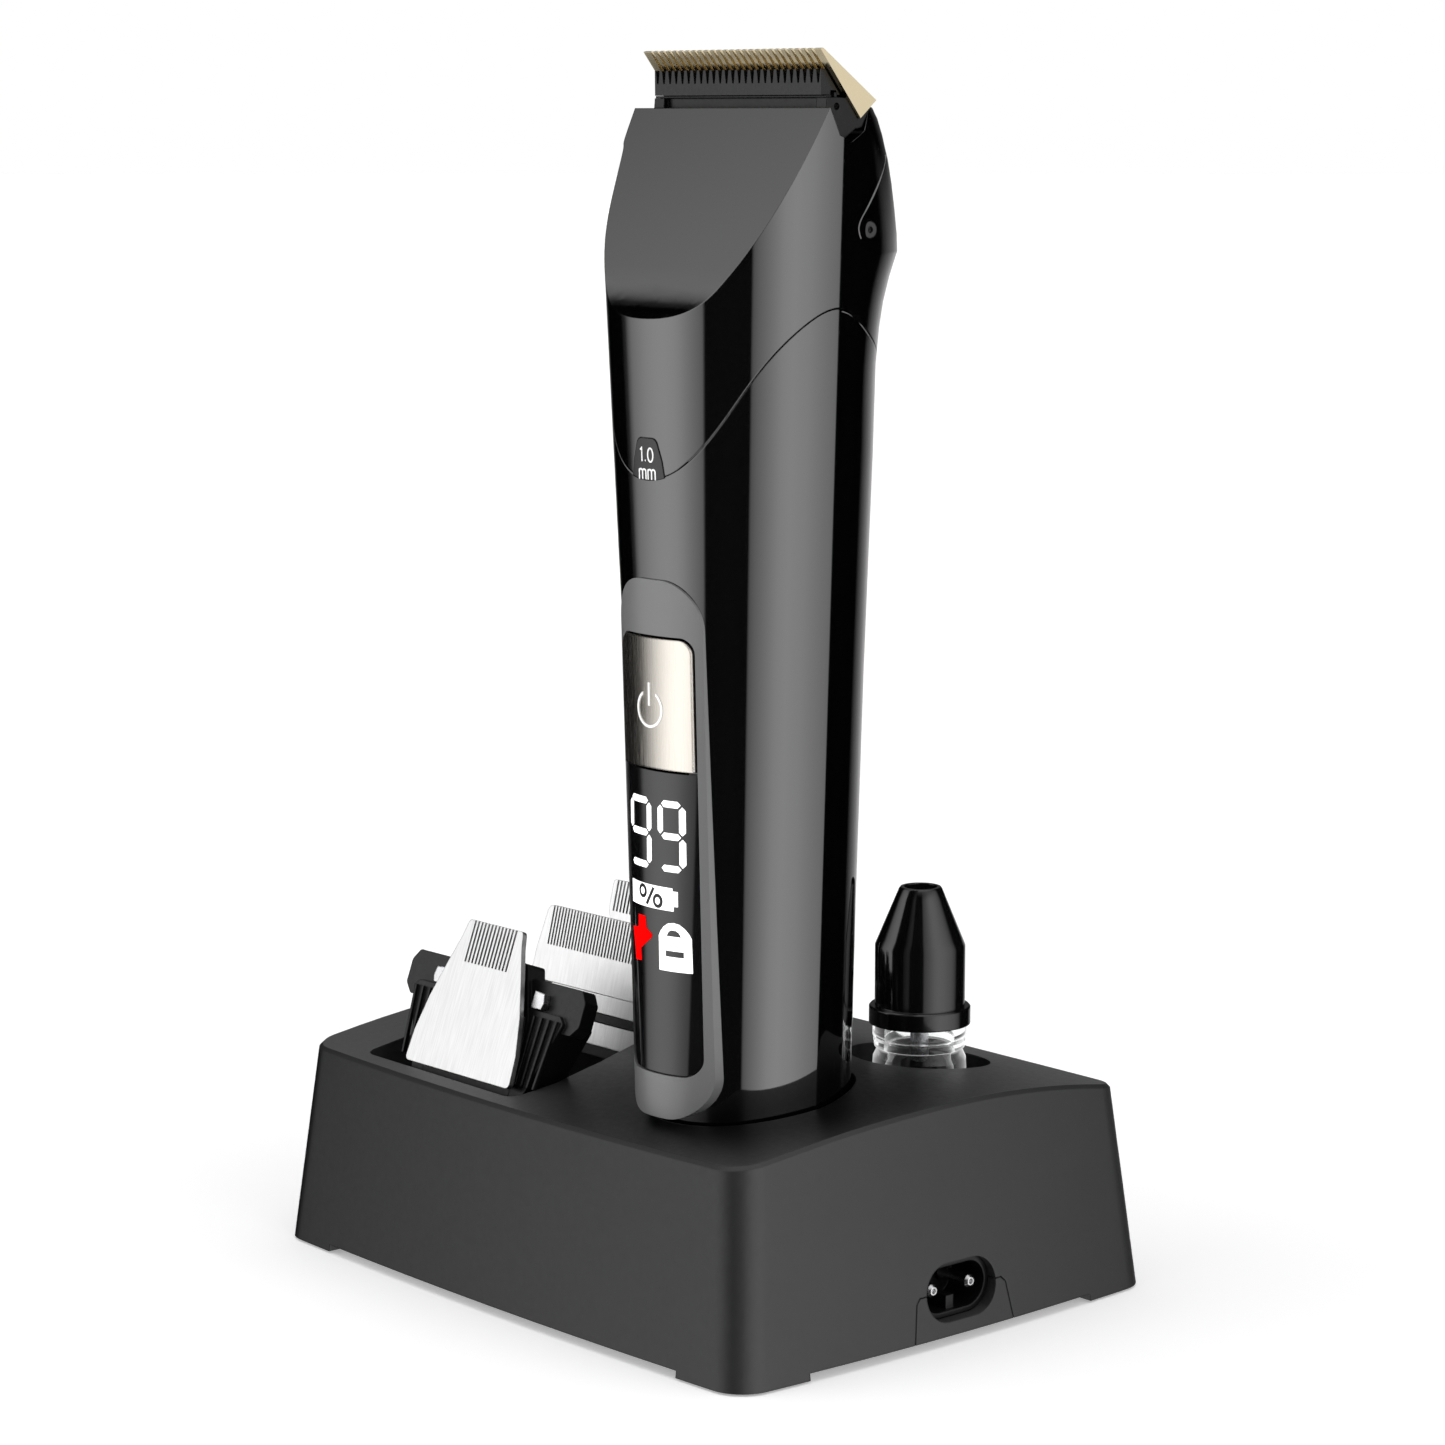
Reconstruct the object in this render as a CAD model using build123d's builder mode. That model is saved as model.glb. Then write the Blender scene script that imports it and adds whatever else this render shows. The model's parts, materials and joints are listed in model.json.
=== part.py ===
# Cordless hair clipper docked in its charging and storage stand, with three
# spare trimmer heads and a nose-hair head. Millimetres, +Z up, origin at the
# bottom centre of the stand. -Y is the front (the clipper's display side) and
# +X is the side with the mains inlet.
import math
import os

from build123d import *

os.makedirs("parts", exist_ok=True)

# ---------------------------------------------------------------- dimensions
# stand
ST_HX, ST_HY = 62.0, 47.56            # half sizes at the bottom
ST_TX, ST_TY = 0.1085, 0.0966         # inward taper per mm of height
ST_BOW_X, ST_BOW_Y = 1.95, 1.83       # mid-face bulge of the side / front faces
ST_R = 6.4                            # vertical corner radius
ST_WALL = 2.4
SKIRT = 1.2                           # height of the corner feet under the skirt
TOP_PTS = [(-60.0, 31.9), (-47.6, 34.9), (-42.0, 35.7), (-30.0, 37.2), (-20.0, 38.2), (-10.0, 38.8), (0.0, 39.1),
           (10.0, 39.0), (20.0, 38.4), (30.0, 37.3), (42.0, 35.3), (47.6, 34.2), (60.0, 30.9)]
PLATE_Z = 2.0                         # underside cover thickness
# clipper
CX = 29.35                            # x of the clipper's symmetry plane
BODY_WALL = 1.8
DOCK_GAP = 0.9                        # clearance round the clipper in its pocket
POCKET_FLOOR = 12.0
CLIP_Z0 = 13.0                        # lower end of the docked clipper
# clipper front parts
BEZ_HW, BEZ_Z0, BEZ_Z1 = 10.1, 37.7, 126.4
WIN_HW = 8.85                         # opening in the bezel
DISP_Z0, DISP_Z1 = 45.2, 95.2
BTN_Z0, BTN_Z1 = 95.7, 117.0
BTN_TRAVEL = 0.6
# blades
BL_HW = 21.4                          # half width of the fixed blade
BL_PITCH = 1.55
CUT_STROKE = 1.0
# nose head
NX, NY = 28.6, 24.3
# inlet
IN_Y, IN_Z = 0.9, 8.35
IN_W, IN_H = 16.0, 9.7
PIN_R, PIN_GAP = 1.2, 8.6


# ------------------------------------------------------------------- helpers
def fam_body(z):
    """Section of the clipper's gloss shell at height z."""
    t = (z - 44.0) / 100.0
    w = 16.08 + 4.84 * t
    yc = -15.69 - 1.235 * t
    yf = -34.24 - 3.945 * t
    b = 19.19 + 1.17 * t + 2.05 * t * t
    return w, yc, yf, yc + b


def fam_bezel(z):
    """Section whose front carries the raised front strip."""
    t = (z - 44.0) / 100.0
    w = 15.55 + 5.39 * t
    yc = -15.32 - 1.76 * t
    yf = -37.1 - 0.15 * t - 1.1 * t * t
    b = 18.6 - 0.22 * t + 3.41 * t * t
    return w, yc, yf, yc + b


def oval_section(z, w, yc, yf, yb, grow=0.0, ang=13.36, n=2.163, m=2.225, cx=CX):
    """Face at height z: elliptical front, slightly creased sides, round back."""
    w = w + grow
    yf = yf - grow
    yb = yb + grow
    h = yc - yf
    b = yb - yc
    k = math.tan(math.radians(ang))
    front, back = [], []
    for i in range(0, 13):
        a = math.pi * i / 12.0
        c, s = math.cos(a), math.sin(a)
        front.append((cx + w * math.copysign(abs(c) ** (2 / n), c) if i not in (6,) else cx, yc - h * abs(s) ** (2 / n)))
    for i in range(0, 13):
        a = math.pi * i / 12.0
        c, s = -math.cos(a), math.sin(a)
        y_ = b * abs(s) ** (2 / m)
        x_ = w * abs(c) ** (2 / m)
        x_ = max(x_ - k * y_ * x_ / w, 0.0)
        back.append((cx + math.copysign(x_, c) if i != 6 else cx, yc + y_))
    front[0] = (cx + w, yc)
    front[-1] = (cx - w, yc)
    back[0] = (cx - w, yc)
    back[-1] = (cx + w, yc)
    with BuildSketch(Plane.XY.offset(z)) as sk:
        with BuildLine():
            Spline(*front, tangents=[(0, -1), (0, 1)])
            Spline(*back, tangents=[(k, 1), (k, -1)])
        make_face()
    return sk.sketch


def oval_loft(rows):
    """Solid through a list of sections."""
    with BuildPart() as p:
        loft(sections=[r.face() for r in rows], ruled=True)
    return p.part


def body_loft(zs, grow=0.0, fam=fam_body, override=None):
    rows = []
    for z in zs:
        w, yc, yf, yb = fam(z)
        if override and z in override:
            yb = override[z]
        rows.append(oval_section(z, w, yc, yf, yb, grow))
    return oval_loft(rows)


def prism_yz(pts, x0, x1):
    """Polygon in the YZ plane extruded from x0 to x1."""
    with BuildPart() as p:
        with BuildSketch(Plane.YZ.offset(x0)):
            with BuildLine():
                Polyline(*pts, close=True)
            make_face()
        extrude(amount=x1 - x0)
    return p.part


def prism_xz(pts, y0, y1):
    """Polygon in the XZ plane extruded from y0 to y1 (y0 < y1)."""
    with BuildPart() as p:
        with BuildSketch(Plane(origin=(0, y1, 0), x_dir=(1, 0, 0), z_dir=(0, -1, 0))):
            with BuildLine():
                Polyline(*pts, close=True)
            make_face()
        extrude(amount=y1 - y0)
    return p.part


def box(x0, x1, y0, y1, z0, z1):
    with BuildPart(Location(((x0 + x1) / 2, (y0 + y1) / 2, (z0 + z1) / 2))) as p:
        Box(abs(x1 - x0), abs(y1 - y0), abs(z1 - z0))
    return p.part


def cyl(x, y, z0, z1, r):
    with BuildPart(Location((x, y, (z0 + z1) / 2))) as p:
        Cylinder(r, z1 - z0)
    return p.part


def rr_xz(x, z0, z1, hw, r_low, r_top, y0, y1):
    """Rounded tall outline in XZ extruded from y0 to y1 (y0 < y1)."""
    with BuildPart() as p:
        with BuildSketch(Plane(origin=(x, y1, (z0 + z1) / 2), x_dir=(1, 0, 0), z_dir=(0, -1, 0))) as s:
            Rectangle(2 * hw, z1 - z0)
            vs = s.vertices().sort_by(Axis.Y)
            if r_low > 0:
                fillet(vs[:2], r_low)
            if r_top > 0:
                fillet(s.vertices().sort_by(Axis.Y)[-2:], r_top)
        extrude(amount=y1 - y0)
    return p.part


def save(builder, name):
    builder.part.label = name
    export_step(builder.part, "parts/" + name + ".step")


# =============================================================== STAND SHAPES
def stand_section(z, inset=0.0):
    hx = ST_HX - ST_TX * z - inset
    hy = ST_HY - ST_TY * z - inset
    r = max(ST_R - inset, 2.0)
    with BuildSketch(Plane.XY.offset(z)) as s:
        with BuildLine():
            ThreePointArc((-hx, -hy), (0, -hy - ST_BOW_Y), (hx, -hy))
            ThreePointArc((hx, -hy), (hx + ST_BOW_X, 0), (hx, hy))
            ThreePointArc((hx, hy), (0, hy + ST_BOW_Y), (-hx, hy))
            ThreePointArc((-hx, hy), (-hx - ST_BOW_X, 0), (-hx, -hy))
        make_face()
        fillet(s.vertices(), r)
    return s.sketch


def stand_block(z0, z1, inset=0.0):
    with BuildPart() as p:
        loft(sections=[stand_section(z0, inset).face(), stand_section(z1, inset).face()], ruled=True)
    return p.part


def top_cutter(drop=0.0):
    """Everything above the arched top, lowered by drop."""
    with BuildPart() as p:
        with BuildSketch(Plane.YZ.offset(-80)):
            with BuildLine():
                Spline(*[(y, z - drop) for y, z in TOP_PTS])
                Polyline((60.0, 30.9 - drop), (60.0, 70.0), (-60.0, 70.0), (-60.0, 31.9 - drop))
            make_face()
        extrude(amount=160)
    return p.part


TRAY_PTS = [(-44.4, -41.6), (-1.6, -42.4), (-1.3, -33.0), (-3.9, -21.1), (-7.7, -10.7), (-13.5, 8.0), (-16.5, 20.0),
            (-17.5, 33.0), (-45.0, 33.0), (-46.6, 8.0), (-46.4, -20.0)]
TRAY_FLOOR = 18.0


def tray_prism(z0, z1, grow=0.0):
    with BuildPart() as p:
        with BuildSketch(Plane.XY.offset(z0)) as s:
            with BuildLine():
                Polyline(*TRAY_PTS, close=True)
            make_face()
            fillet(s.vertices(), 2.6)
            if grow:
                offset(amount=grow, kind=Kind.ARC)
        extrude(amount=z1 - z0)
    return p.part


def pocket_prism(z0, z1, grow):
    w, yc, yf, yb = fam_body(37.0)
    with BuildPart() as p:
        add(oval_section(z0, w, yc, yf, yb, grow))
        extrude(amount=z1 - z0)
    return p.part


def inlet_outline(x0, x1, w, h, y=IN_Y, z=IN_Z):
    """Figure-of-eight style racetrack prism along X."""
    with BuildPart() as p:
        with BuildSketch(Plane(origin=(x0, y, z), x_dir=(0, 1, 0), z_dir=(1, 0, 0))):
            SlotOverall(w, h)
        extrude(amount=x1 - x0)
    return p.part


panel_pts = [(-10.6, 1.0), (-9.4, 7.6), (-8.6, 8.6), (10.2, 8.6), (11.2, 7.6), (13.0, 1.0)]


def panel_prism(x0, x1, shrink=0.0):
    q = [(-10.6 + shrink, 0.0), (-9.5 + shrink, 7.7), (-8.7 + shrink, 8.7 - shrink), (10.3 - shrink, 8.7 - shrink),
         (11.3 - shrink, 7.7), (12.9 - shrink, 0.0)]
    return prism_yz(q, x0, x1)


# ---------------------------------------------------------------- stand shell
cavity = stand_block(-2.0, 45.0, ST_WALL) - top_cutter(ST_WALL)
cavity = cavity - pocket_prism(POCKET_FLOOR - 2.0, 60.0, DOCK_GAP + 1.8)
cavity = cavity - tray_prism(TRAY_FLOOR - 2.0, 60.0, 1.8)
cavity = cavity - cyl(NX, NY, 22.0, 60.0, 12.4 + 1.8)
cavity = cavity - (inlet_outline(48.0, 70.0, IN_W + 3.2, IN_H + 3.2) - box(40, 80, -30, 30, -5, SKIRT + PLATE_Z + 0.1))

with BuildPart() as stand_shell:
    add(stand_block(0.0, 45.0))
    add(top_cutter(), mode=Mode.SUBTRACT)
    chamfer(stand_shell.faces().sort_by(Axis.Z)[-1].edges(), 0.6)
    add(cavity, mode=Mode.SUBTRACT)
    add(pocket_prism(POCKET_FLOOR, 60.0, DOCK_GAP), mode=Mode.SUBTRACT)
    add(tray_prism(TRAY_FLOOR, 60.0), mode=Mode.SUBTRACT)
    add(cyl(NX, NY, 24.0, 60.0, 12.4), mode=Mode.SUBTRACT)
    add(inlet_outline(45.0, 70.0, IN_W, IN_H), mode=Mode.SUBTRACT)
    # skirt raised between the corner feet
    add(box(-46.9, 47.6, -60, -40, -1, SKIRT), mode=Mode.SUBTRACT)
    add(box(-46.9, 47.6, 40, 60, -1, SKIRT), mode=Mode.SUBTRACT)
    add(box(50, 70, -33.0, 32.0, -1, SKIRT), mode=Mode.SUBTRACT)
    add(box(-70, -50, -33.0, 32.0, -1, SKIRT), mode=Mode.SUBTRACT)
    # opening for the inlet panel, with its seam
    add(panel_prism(58.0, 70.0), mode=Mode.SUBTRACT)
    # holes for the contact pins in the pocket floor
    add(cyl(CX - 5, -14.0, 5, 14, 1.3), mode=Mode.SUBTRACT)
    add(cyl(CX + 5, -14.0, 5, 14, 1.3), mode=Mode.SUBTRACT)
save(stand_shell, "stand_shell")

with BuildPart() as inlet_panel:
    add(stand_block(0.0, 20.0) & panel_prism(58.0, 70.0, 0.18))
    add(stand_block(0.0, 20.0, ST_WALL), mode=Mode.SUBTRACT)
    add(inlet_outline(45.0, 70.0, IN_W, IN_H), mode=Mode.SUBTRACT)
    add(box(40, 70, -30, 30, -1, SKIRT), mode=Mode.SUBTRACT)
save(inlet_panel, "inlet_panel")

# underside cover with screws and pads
with BuildPart() as bottom_plate:
    add(stand_block(SKIRT, SKIRT + PLATE_Z, ST_WALL + 0.15))
    for sx in (-1, 1):
        for sy in (-1, 1):
            add(cyl(sx * 50.0, sy * 36.0, 0, 5, 1.7), mode=Mode.SUBTRACT)
            add(cyl(sx * 50.0, sy * 36.0, 0, 2.3, 3.2), mode=Mode.SUBTRACT)
            add(cyl(sx * 52.0, sy * 24.0, 0, 2.0, 5.05), mode=Mode.SUBTRACT)
    for i in range(5):
        add(box(-30, 6, -8 + i * 4, -6.4 + i * 4, 0, 5), mode=Mode.SUBTRACT)
save(bottom_plate, "bottom_plate")

with BuildPart() as stand_feet:
    for sx in (-1, 1):
        for sy in (-1, 1):
            add(cyl(sx * 52.0, sy * 24.0, 0.0, 1.95, 5.0))
save(stand_feet, "stand_feet")

with BuildPart() as stand_bosses:
    for sx in (-1, 1):
        for sy in (-1, 1):
            add(cyl(sx * 50.0, sy * 36.0, 3.25, 15.0, 3.4) - cyl(sx * 50.0, sy * 36.0, 3.0, 12.0, 1.3))
save(stand_bosses, "stand_bosses")

with BuildPart() as stand_screws:
    for sx in (-1, 1):
        for sy in (-1, 1):
            add(cyl(sx * 50.0, sy * 36.0, 1.3, 2.25, 2.9) + cyl(sx * 50.0, sy * 36.0, 2.25, 11.0, 1.25))
            add(box(sx * 50.0 - 1.8, sx * 50.0 + 1.8, sy * 36.0 - 0.3, sy * 36.0 + 0.3, 1.2, 1.75), mode=Mode.SUBTRACT)
            add(box(sx * 50.0 - 0.3, sx * 50.0 + 0.3, sy * 36.0 - 1.8, sy * 36.0 + 1.8, 1.2, 1.75), mode=Mode.SUBTRACT)
save(stand_screws, "stand_screws")

# mains inlet: black insert, two pins
with BuildPart() as inlet_insert:
    add(inlet_outline(50.0, 61.2, IN_W - 0.1, IN_H - 0.1))
    add(inlet_outline(53.5, 62.0, IN_W - 2.0, IN_H - 2.0), mode=Mode.SUBTRACT)
    add(box(53.4, 60.2, IN_Y - 0.9, IN_Y + 0.9, IN_Z - 4.4, IN_Z - 1.6))
    for s in (-1, 1):
        with Locations(Location((52.0, IN_Y + s * PIN_GAP / 2, IN_Z), (0, 90, 0))):
            Cylinder(PIN_R, 8.0, mode=Mode.SUBTRACT)
save(inlet_insert, "inlet_insert")

with BuildPart() as inlet_pins:
    for s in (-1, 1):
        with Locations(Location((51.05, IN_Y + s * PIN_GAP / 2, IN_Z), (0, 90, 0))):
            Cylinder(PIN_R - 0.5, 6.1)
        with Locations(Location((57.45, IN_Y + s * PIN_GAP / 2, IN_Z), (0, 90, 0))):
            Cylinder(PIN_R - 0.02, 6.9)
    chamfer(inlet_pins.faces().filter_by(Axis.X).group_by(Axis.X)[-1].edges(), 0.5)
    # dimple in the tip of each pin
    for s in (-1, 1):
        with Locations(Location((60.9, IN_Y + s * PIN_GAP / 2, IN_Z), (0, 90, 0))):
            Cylinder(0.4, 1.2, mode=Mode.SUBTRACT)
save(inlet_pins, "inlet_pins")

# charging electronics in the stand
with BuildPart() as stand_pcb:
    add(box(8.0, 46.0, -29.5, 3.0, 5.0, 6.4))
    for s in (-1, 1):
        add(cyl(CX + s * 5, -14.0, 4, 8, 1.05), mode=Mode.SUBTRACT)
save(stand_pcb, "stand_pcb")

with BuildPart() as stand_transformer:
    add(box(-30.0, -8.0, -12.0, 12.0, 3.4, 15.5))
    add(box(-33.0, -5.0, -8.0, 8.0, 6.0, 12.5))
save(stand_transformer, "stand_transformer")

with BuildPart() as stand_contacts:
    for s in (-1, 1):
        add(cyl(CX + s * 5, -14.0, 3.6, 12.6, 1.0))
    fillet(stand_contacts.edges().group_by(Axis.Z)[-1], 0.4)
save(stand_contacts, "stand_contacts")

# =================================================================== CLIPPER
LOW_ZS = [13.0, 37.0, 70.0, 110.0, 145.0, 160.0, 166.0, 170.0, 174.0, 178.0]
OVR = {160.0: 5.7, 166.0: 6.6, 170.0: 7.7, 174.0: 9.5, 178.0: 11.8}
HEAD_ZS = [178.0, 181.0, 185.0, 189.0, 193.0, 197.0, 199.5, 203.0]
OVRH = {178.0: 11.8, 181.0: 11.5, 185.0: 10.6, 189.0: 9.5, 193.0: 8.0, 197.0: 5.8, 199.5: 3.9, 203.0: -0.2}

low_outer = body_loft(LOW_ZS, 0.0, override=OVR)
head_outer = body_loft(HEAD_ZS, 0.0, override=OVRH)
low_inner = body_loft([15.0] + LOW_ZS[1:], -BODY_WALL, override=OVR)
head_inner = body_loft(HEAD_ZS, -BODY_WALL, override=OVRH)

SEAM = [(-46.0, 126.0), (-40.0, 138.2), (-38.3, 142.0), (-36.1, 147.4), (-33.7, 153.2), (-31.0, 158.8), (-27.7, 163.5),
        (-23.5, 167.3), (-20.0, 169.2), (-17.0, 169.7), (-12.7, 168.4), (-6.6, 165.3), (0.0, 161.8), (6.0, 159.6),
        (18.0, 157.5)]


def above_seam(gap=0.0, top=215.0):
    with BuildPart() as p:
        with BuildSketch(Plane.YZ.offset(0)):
            with BuildLine():
                Spline(*[(y, z + gap) for y, z in SEAM])
                Polyline((18.0, 157.5 + gap), (18.0, top), (-46.0, top), (-46.0, 126.0 + gap))
            make_face()
        extrude(amount=60)
    return p.part


def facet_cutter(inset=0.0):
    """Sloping front face of the head with a concave blend at its foot."""
    dy, dz = inset * 0.885, -inset * 0.465
    with BuildPart() as p:
        with BuildSketch(Plane.YZ.offset(0)):
            with BuildLine():
                Polyline((-42.5, 167.2 + dz * 1.0), (-60, 167.2 + dz), (-60, 212), (-15.0 + dy, 211.6 + dz), (-20.6 + dy, 201.2 + dz),
                         (-34.4 + dy, 175.0 + dz))
                Spline((-34.4 + dy, 175.0 + dz), (-36.6 + dy, 170.9 + dz), (-38.6 + dy * 0.8, 168.5 + dz), (-42.5, 167.2 + dz),
                       tangents=[(-0.466, -0.885), (-1, -0.05)])
            make_face()
        extrude(amount=60)
    return p.part


TOPCUT = [(-60, 201.2), (-20.5, 201.2), (-18.3, 196.9), (-15.2, 195.9), (-11.2, 197.6), (-9.4, 200.4), (-7.6, 201.4),
          (-3.0, 201.0), (12, 198.5), (20, 198), (20, 215), (-60, 215)]
top_cut = prism_yz(TOPCUT, 0, 60)
head_box = above_seam(0.24)



def indicator_prism(shrink=0.0):
    q = [(CX - 4.3 + shrink, 141.0), (CX - 3.5 + shrink, 145.6), (CX - 2.3 + shrink, 149.2 - shrink), (CX + 2.3 - shrink, 149.2 - shrink),
         (CX + 3.5 - shrink, 145.6), (CX + 4.3 - shrink, 141.0)]
    with BuildPart() as p:
        with BuildSketch(Plane(origin=(0, -30, 0), x_dir=(1, 0, 0), z_dir=(0, -1, 0))) as sk:
            with BuildLine():
                Polyline(*q, close=True)
            make_face()
            fillet(sk.vertices().sort_by(Axis.Y)[-2:], 1.3)
        extrude(amount=20)
    return p.part


with BuildPart() as head_shell:
    add((low_outer & head_box) + head_outer)
    add(facet_cutter(), mode=Mode.SUBTRACT)
    add(top_cut, mode=Mode.SUBTRACT)
    # hollow inside, leaving the walls
    add(low_inner - facet_cutter(BODY_WALL), mode=Mode.SUBTRACT)
    add(head_inner - facet_cutter(BODY_WALL) - prism_yz([(y, z - 1.7) for y, z in TOPCUT], 0, 60), mode=Mode.SUBTRACT)
    # mouth for the blade unit's tongue
    add(box(CX - 15.0, CX + 15.0, -17.6, -11.0, 185.0, 204.0), mode=Mode.SUBTRACT)
    # recess for the cutting length indicator
    add((body_loft(LOW_ZS, 1.0, override=OVR) - body_loft(LOW_ZS, -0.6, override=OVR)) & indicator_prism(0.0), mode=Mode.SUBTRACT)
    # pivots in the flanks
    for s in (-1, 1):
        with Locations(Location((CX + s * 21.0, -8.7, 182.0), (0, 90, 0))):
            Cylinder(1.35, 8.0, mode=Mode.SUBTRACT)
save(head_shell, "head_shell")

with BuildPart() as grip_shell:
    add(low_outer)
    fillet(grip_shell.faces().sort_by(Axis.Z)[0].edges(), 1.2)
    add(above_seam(-0.02), mode=Mode.SUBTRACT)
    add(low_inner, mode=Mode.SUBTRACT)
    add(rr_xz(CX, 50.0, 113.0, 6.6, 3.0, 3.0, -60, -20), mode=Mode.SUBTRACT)
    # recess behind the power button
    add((body_loft(LOW_ZS, 2.0, override=OVR) - body_loft(LOW_ZS, -1.2, override=OVR)) & rr_xz(CX, BTN_Z0 - 0.1, BTN_Z1 + 0.2, 8.7, 0, 2.4, -60, -20), mode=Mode.SUBTRACT)
    # contact openings in the lower end
    for s in (-1, 1):
        add(cyl(CX + s * 5, -14.0, 10, 20, 1.5), mode=Mode.SUBTRACT)
save(grip_shell, "grip_shell")

# ------------------------------------------------------- front strip, button
BZ = [34.0, 60.0, 90.0, 130.0]


def bez_loft(grow):
    return body_loft(BZ, grow, fam=fam_bezel)


skin = body_loft(LOW_ZS, 0.02, override=OVR)

with BuildPart() as bezel:
    add((bez_loft(0.0) - skin) & rr_xz(CX, BEZ_Z0, BEZ_Z1, BEZ_HW, 7.4, 7.6, -60, -20))
    add(rr_xz(CX, DISP_Z0 - 0.2, BTN_Z1 + 0.4, WIN_HW, 3.3, 2.6, -60, -20), mode=Mode.SUBTRACT)
save(bezel, "bezel")

with BuildPart() as display_lens:
    add((bez_loft(-0.25) - skin) & rr_xz(CX, DISP_Z0, DISP_Z1, WIN_HW - 0.1, 3.2, 0, -60, -20))
save(display_lens, "display_lens")

with BuildPart() as power_button:
    add((bez_loft(0.3) - bez_loft(-0.35)) & rr_xz(CX, BTN_Z0, BTN_Z1, WIN_HW - 0.35, 0, 2.3, -60, -20))
    with Locations(Location((CX, -33.2, 106.0), (90, 0, 0))):
        Cylinder(1.6, 7.8)
save(power_button, "power_button")


def glyph(pts):
    return prism_xz([(CX + x, z) for x, z in pts], -60.0, -20.0)


def dot(x, z, r):
    with BuildPart() as p:
        with BuildSketch(Plane(origin=(CX + x, -20.0, z), x_dir=(1, 0, 0), z_dir=(0, -1, 0))):
            Circle(r)
        extrude(amount=40)
    return p.part


with BuildPart() as button_icon:
    add((bez_loft(0.38) - bez_loft(0.31)) & (dot(0, 105.4, 3.1) - dot(0, 105.4, 2.68) - glyph([(-1.35, 105.6), (1.35, 105.6), (1.8, 110.0), (-1.8, 110.0)])))
    add((bez_loft(0.38) - bez_loft(0.31)) & glyph([(-0.21, 105.9), (0.21, 105.9), (0.21, 109.7), (-0.21, 109.7)]))
save(button_icon, "button_icon")

# display characters: two seven-segment nines, a battery with a percent sign,
# a red plug and a travel lock
SEG_T = 1.1


def seg_h(x0, x1, z):
    t = SEG_T / 2
    return [(x0, z), (x0 + t, z + t), (x1 - t, z + t), (x1, z), (x1 - t, z - t), (x0 + t, z - t)]


def seg_v(x, z0, z1):
    t = SEG_T / 2
    return [(x, z0), (x + t, z0 + t), (x + t, z1 - t), (x, z1), (x - t, z1 - t), (x - t, z0 + t)]


def nine(x0, x1, z0, z1):
    zm = (z0 + z1) / 2
    g = 0.3
    return [seg_h(x0 + g, x1 - g, z1), seg_h(x0 + g, x1 - g, zm), seg_h(x0 + g, x1 - g, z0), seg_v(x0, zm + g, z1 - g),
            seg_v(x1, zm + g, z1 - g), seg_v(x1, z0 + g, zm - g)]


thin = bez_loft(-0.14) - bez_loft(-0.24)
with BuildPart() as display_symbols:
    for poly in nine(-6.6, -1.05, 79.5, 90.1) + nine(1.7, 6.1, 79.5, 90.1):
        add(thin & glyph(poly))
    # battery with a percent sign left open in it
    add((thin & glyph([(-6.9, 72.5), (-6.9, 76.3), (4.1, 76.3), (4.1, 75.8), (5.1, 75.8), (5.1, 73.3), (4.3, 73.3), (4.3, 72.5)]))
        - dot(-2.95, 75.0, 1.2) - dot(0.95, 73.85, 1.2) - glyph([(-2.2, 72.95), (-1.45, 72.95), (0.35, 75.9), (-0.4, 75.9)]))
    add(thin & dot(-2.95, 75.0, 0.6))
    add(thin & dot(0.95, 73.85, 0.6))
    # travel lock
    add((thin & glyph([(1.2, 68.2), (1.3, 62.5), (7.4, 62.5), (7.3, 68.2), (6.9, 69.0), (6.2, 69.8), (5.3, 70.4), (4.25, 70.6), (3.2, 70.4),
                       (2.3, 69.8), (1.6, 69.0)]))
        - glyph([(2.8, 68.3), (5.7, 68.3), (5.3, 69.0), (4.75, 69.35), (3.75, 69.35), (3.2, 69.0)]) - glyph([(2.6, 64.9), (6.1, 64.9), (6.1, 65.9), (2.6, 65.9)]))
save(display_symbols, "display_symbols")

with BuildPart() as display_plug_icon:
    add(thin & glyph([(-4.4, 70.8), (-2.4, 70.8), (-2.1, 68.9), (-0.5, 68.0), (-0.8, 67.4), (-3.9, 65.2), (-3.7, 63.2), (-5.7, 63.0), (-6.1, 65.4),
                      (-6.9, 68.3), (-4.5, 68.7)]))
save(display_plug_icon, "display_plug_icon")

with BuildPart() as indicator_tab:
    add((body_loft(LOW_ZS, 0.1, override=OVR) - body_loft(LOW_ZS, -0.55, override=OVR)) & indicator_prism(0.12) & above_seam(0.12))
save(indicator_tab, "indicator_tab")

# --------------------------------------------------------- clipper internals
with BuildPart() as main_pcb:
    add(box(CX - 8.0, CX + 8.0, -27.6, -26.4, 42.0, 118.0))
save(main_pcb, "main_pcb")

with BuildPart() as display_module:
    add(box(CX - 6.4, CX + 6.4, -30.4, -27.65, 52.0, 93.0))
save(display_module, "display_module")

with BuildPart() as button_switch:
    add(box(CX - 3.0, CX + 3.0, -28.6, -27.65, 103.0, 109.0))
save(button_switch, "button_switch")

with BuildPart() as inner_frame:
    add(box(CX - 9.0, CX + 9.0, -26.1, -24.3, 36.0, 122.0))
    add(box(CX - 10.8, CX - 9.4, -24.6, -9.0, 36.0, 122.0))
    add(box(CX + 9.4, CX + 10.8, -24.6, -9.0, 36.0, 122.0))
    add(box(CX - 10.8, CX + 10.8, -24.6, -9.0, 36.0, 38.0))
    add(box(CX - 10.8, CX + 10.8, -24.6, -23.0, 36.0, 122.0))
save(inner_frame, "inner_frame")

with BuildPart() as battery:
    add(cyl(CX, -12.0, 39.0, 104.0, 9.1))
    chamfer(battery.edges().group_by(Axis.Z)[-1] + battery.edges().group_by(Axis.Z)[0], 0.6)
    add(cyl(CX, -12.0, 103.9, 105.2, 2.8))
save(battery, "battery")

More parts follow.
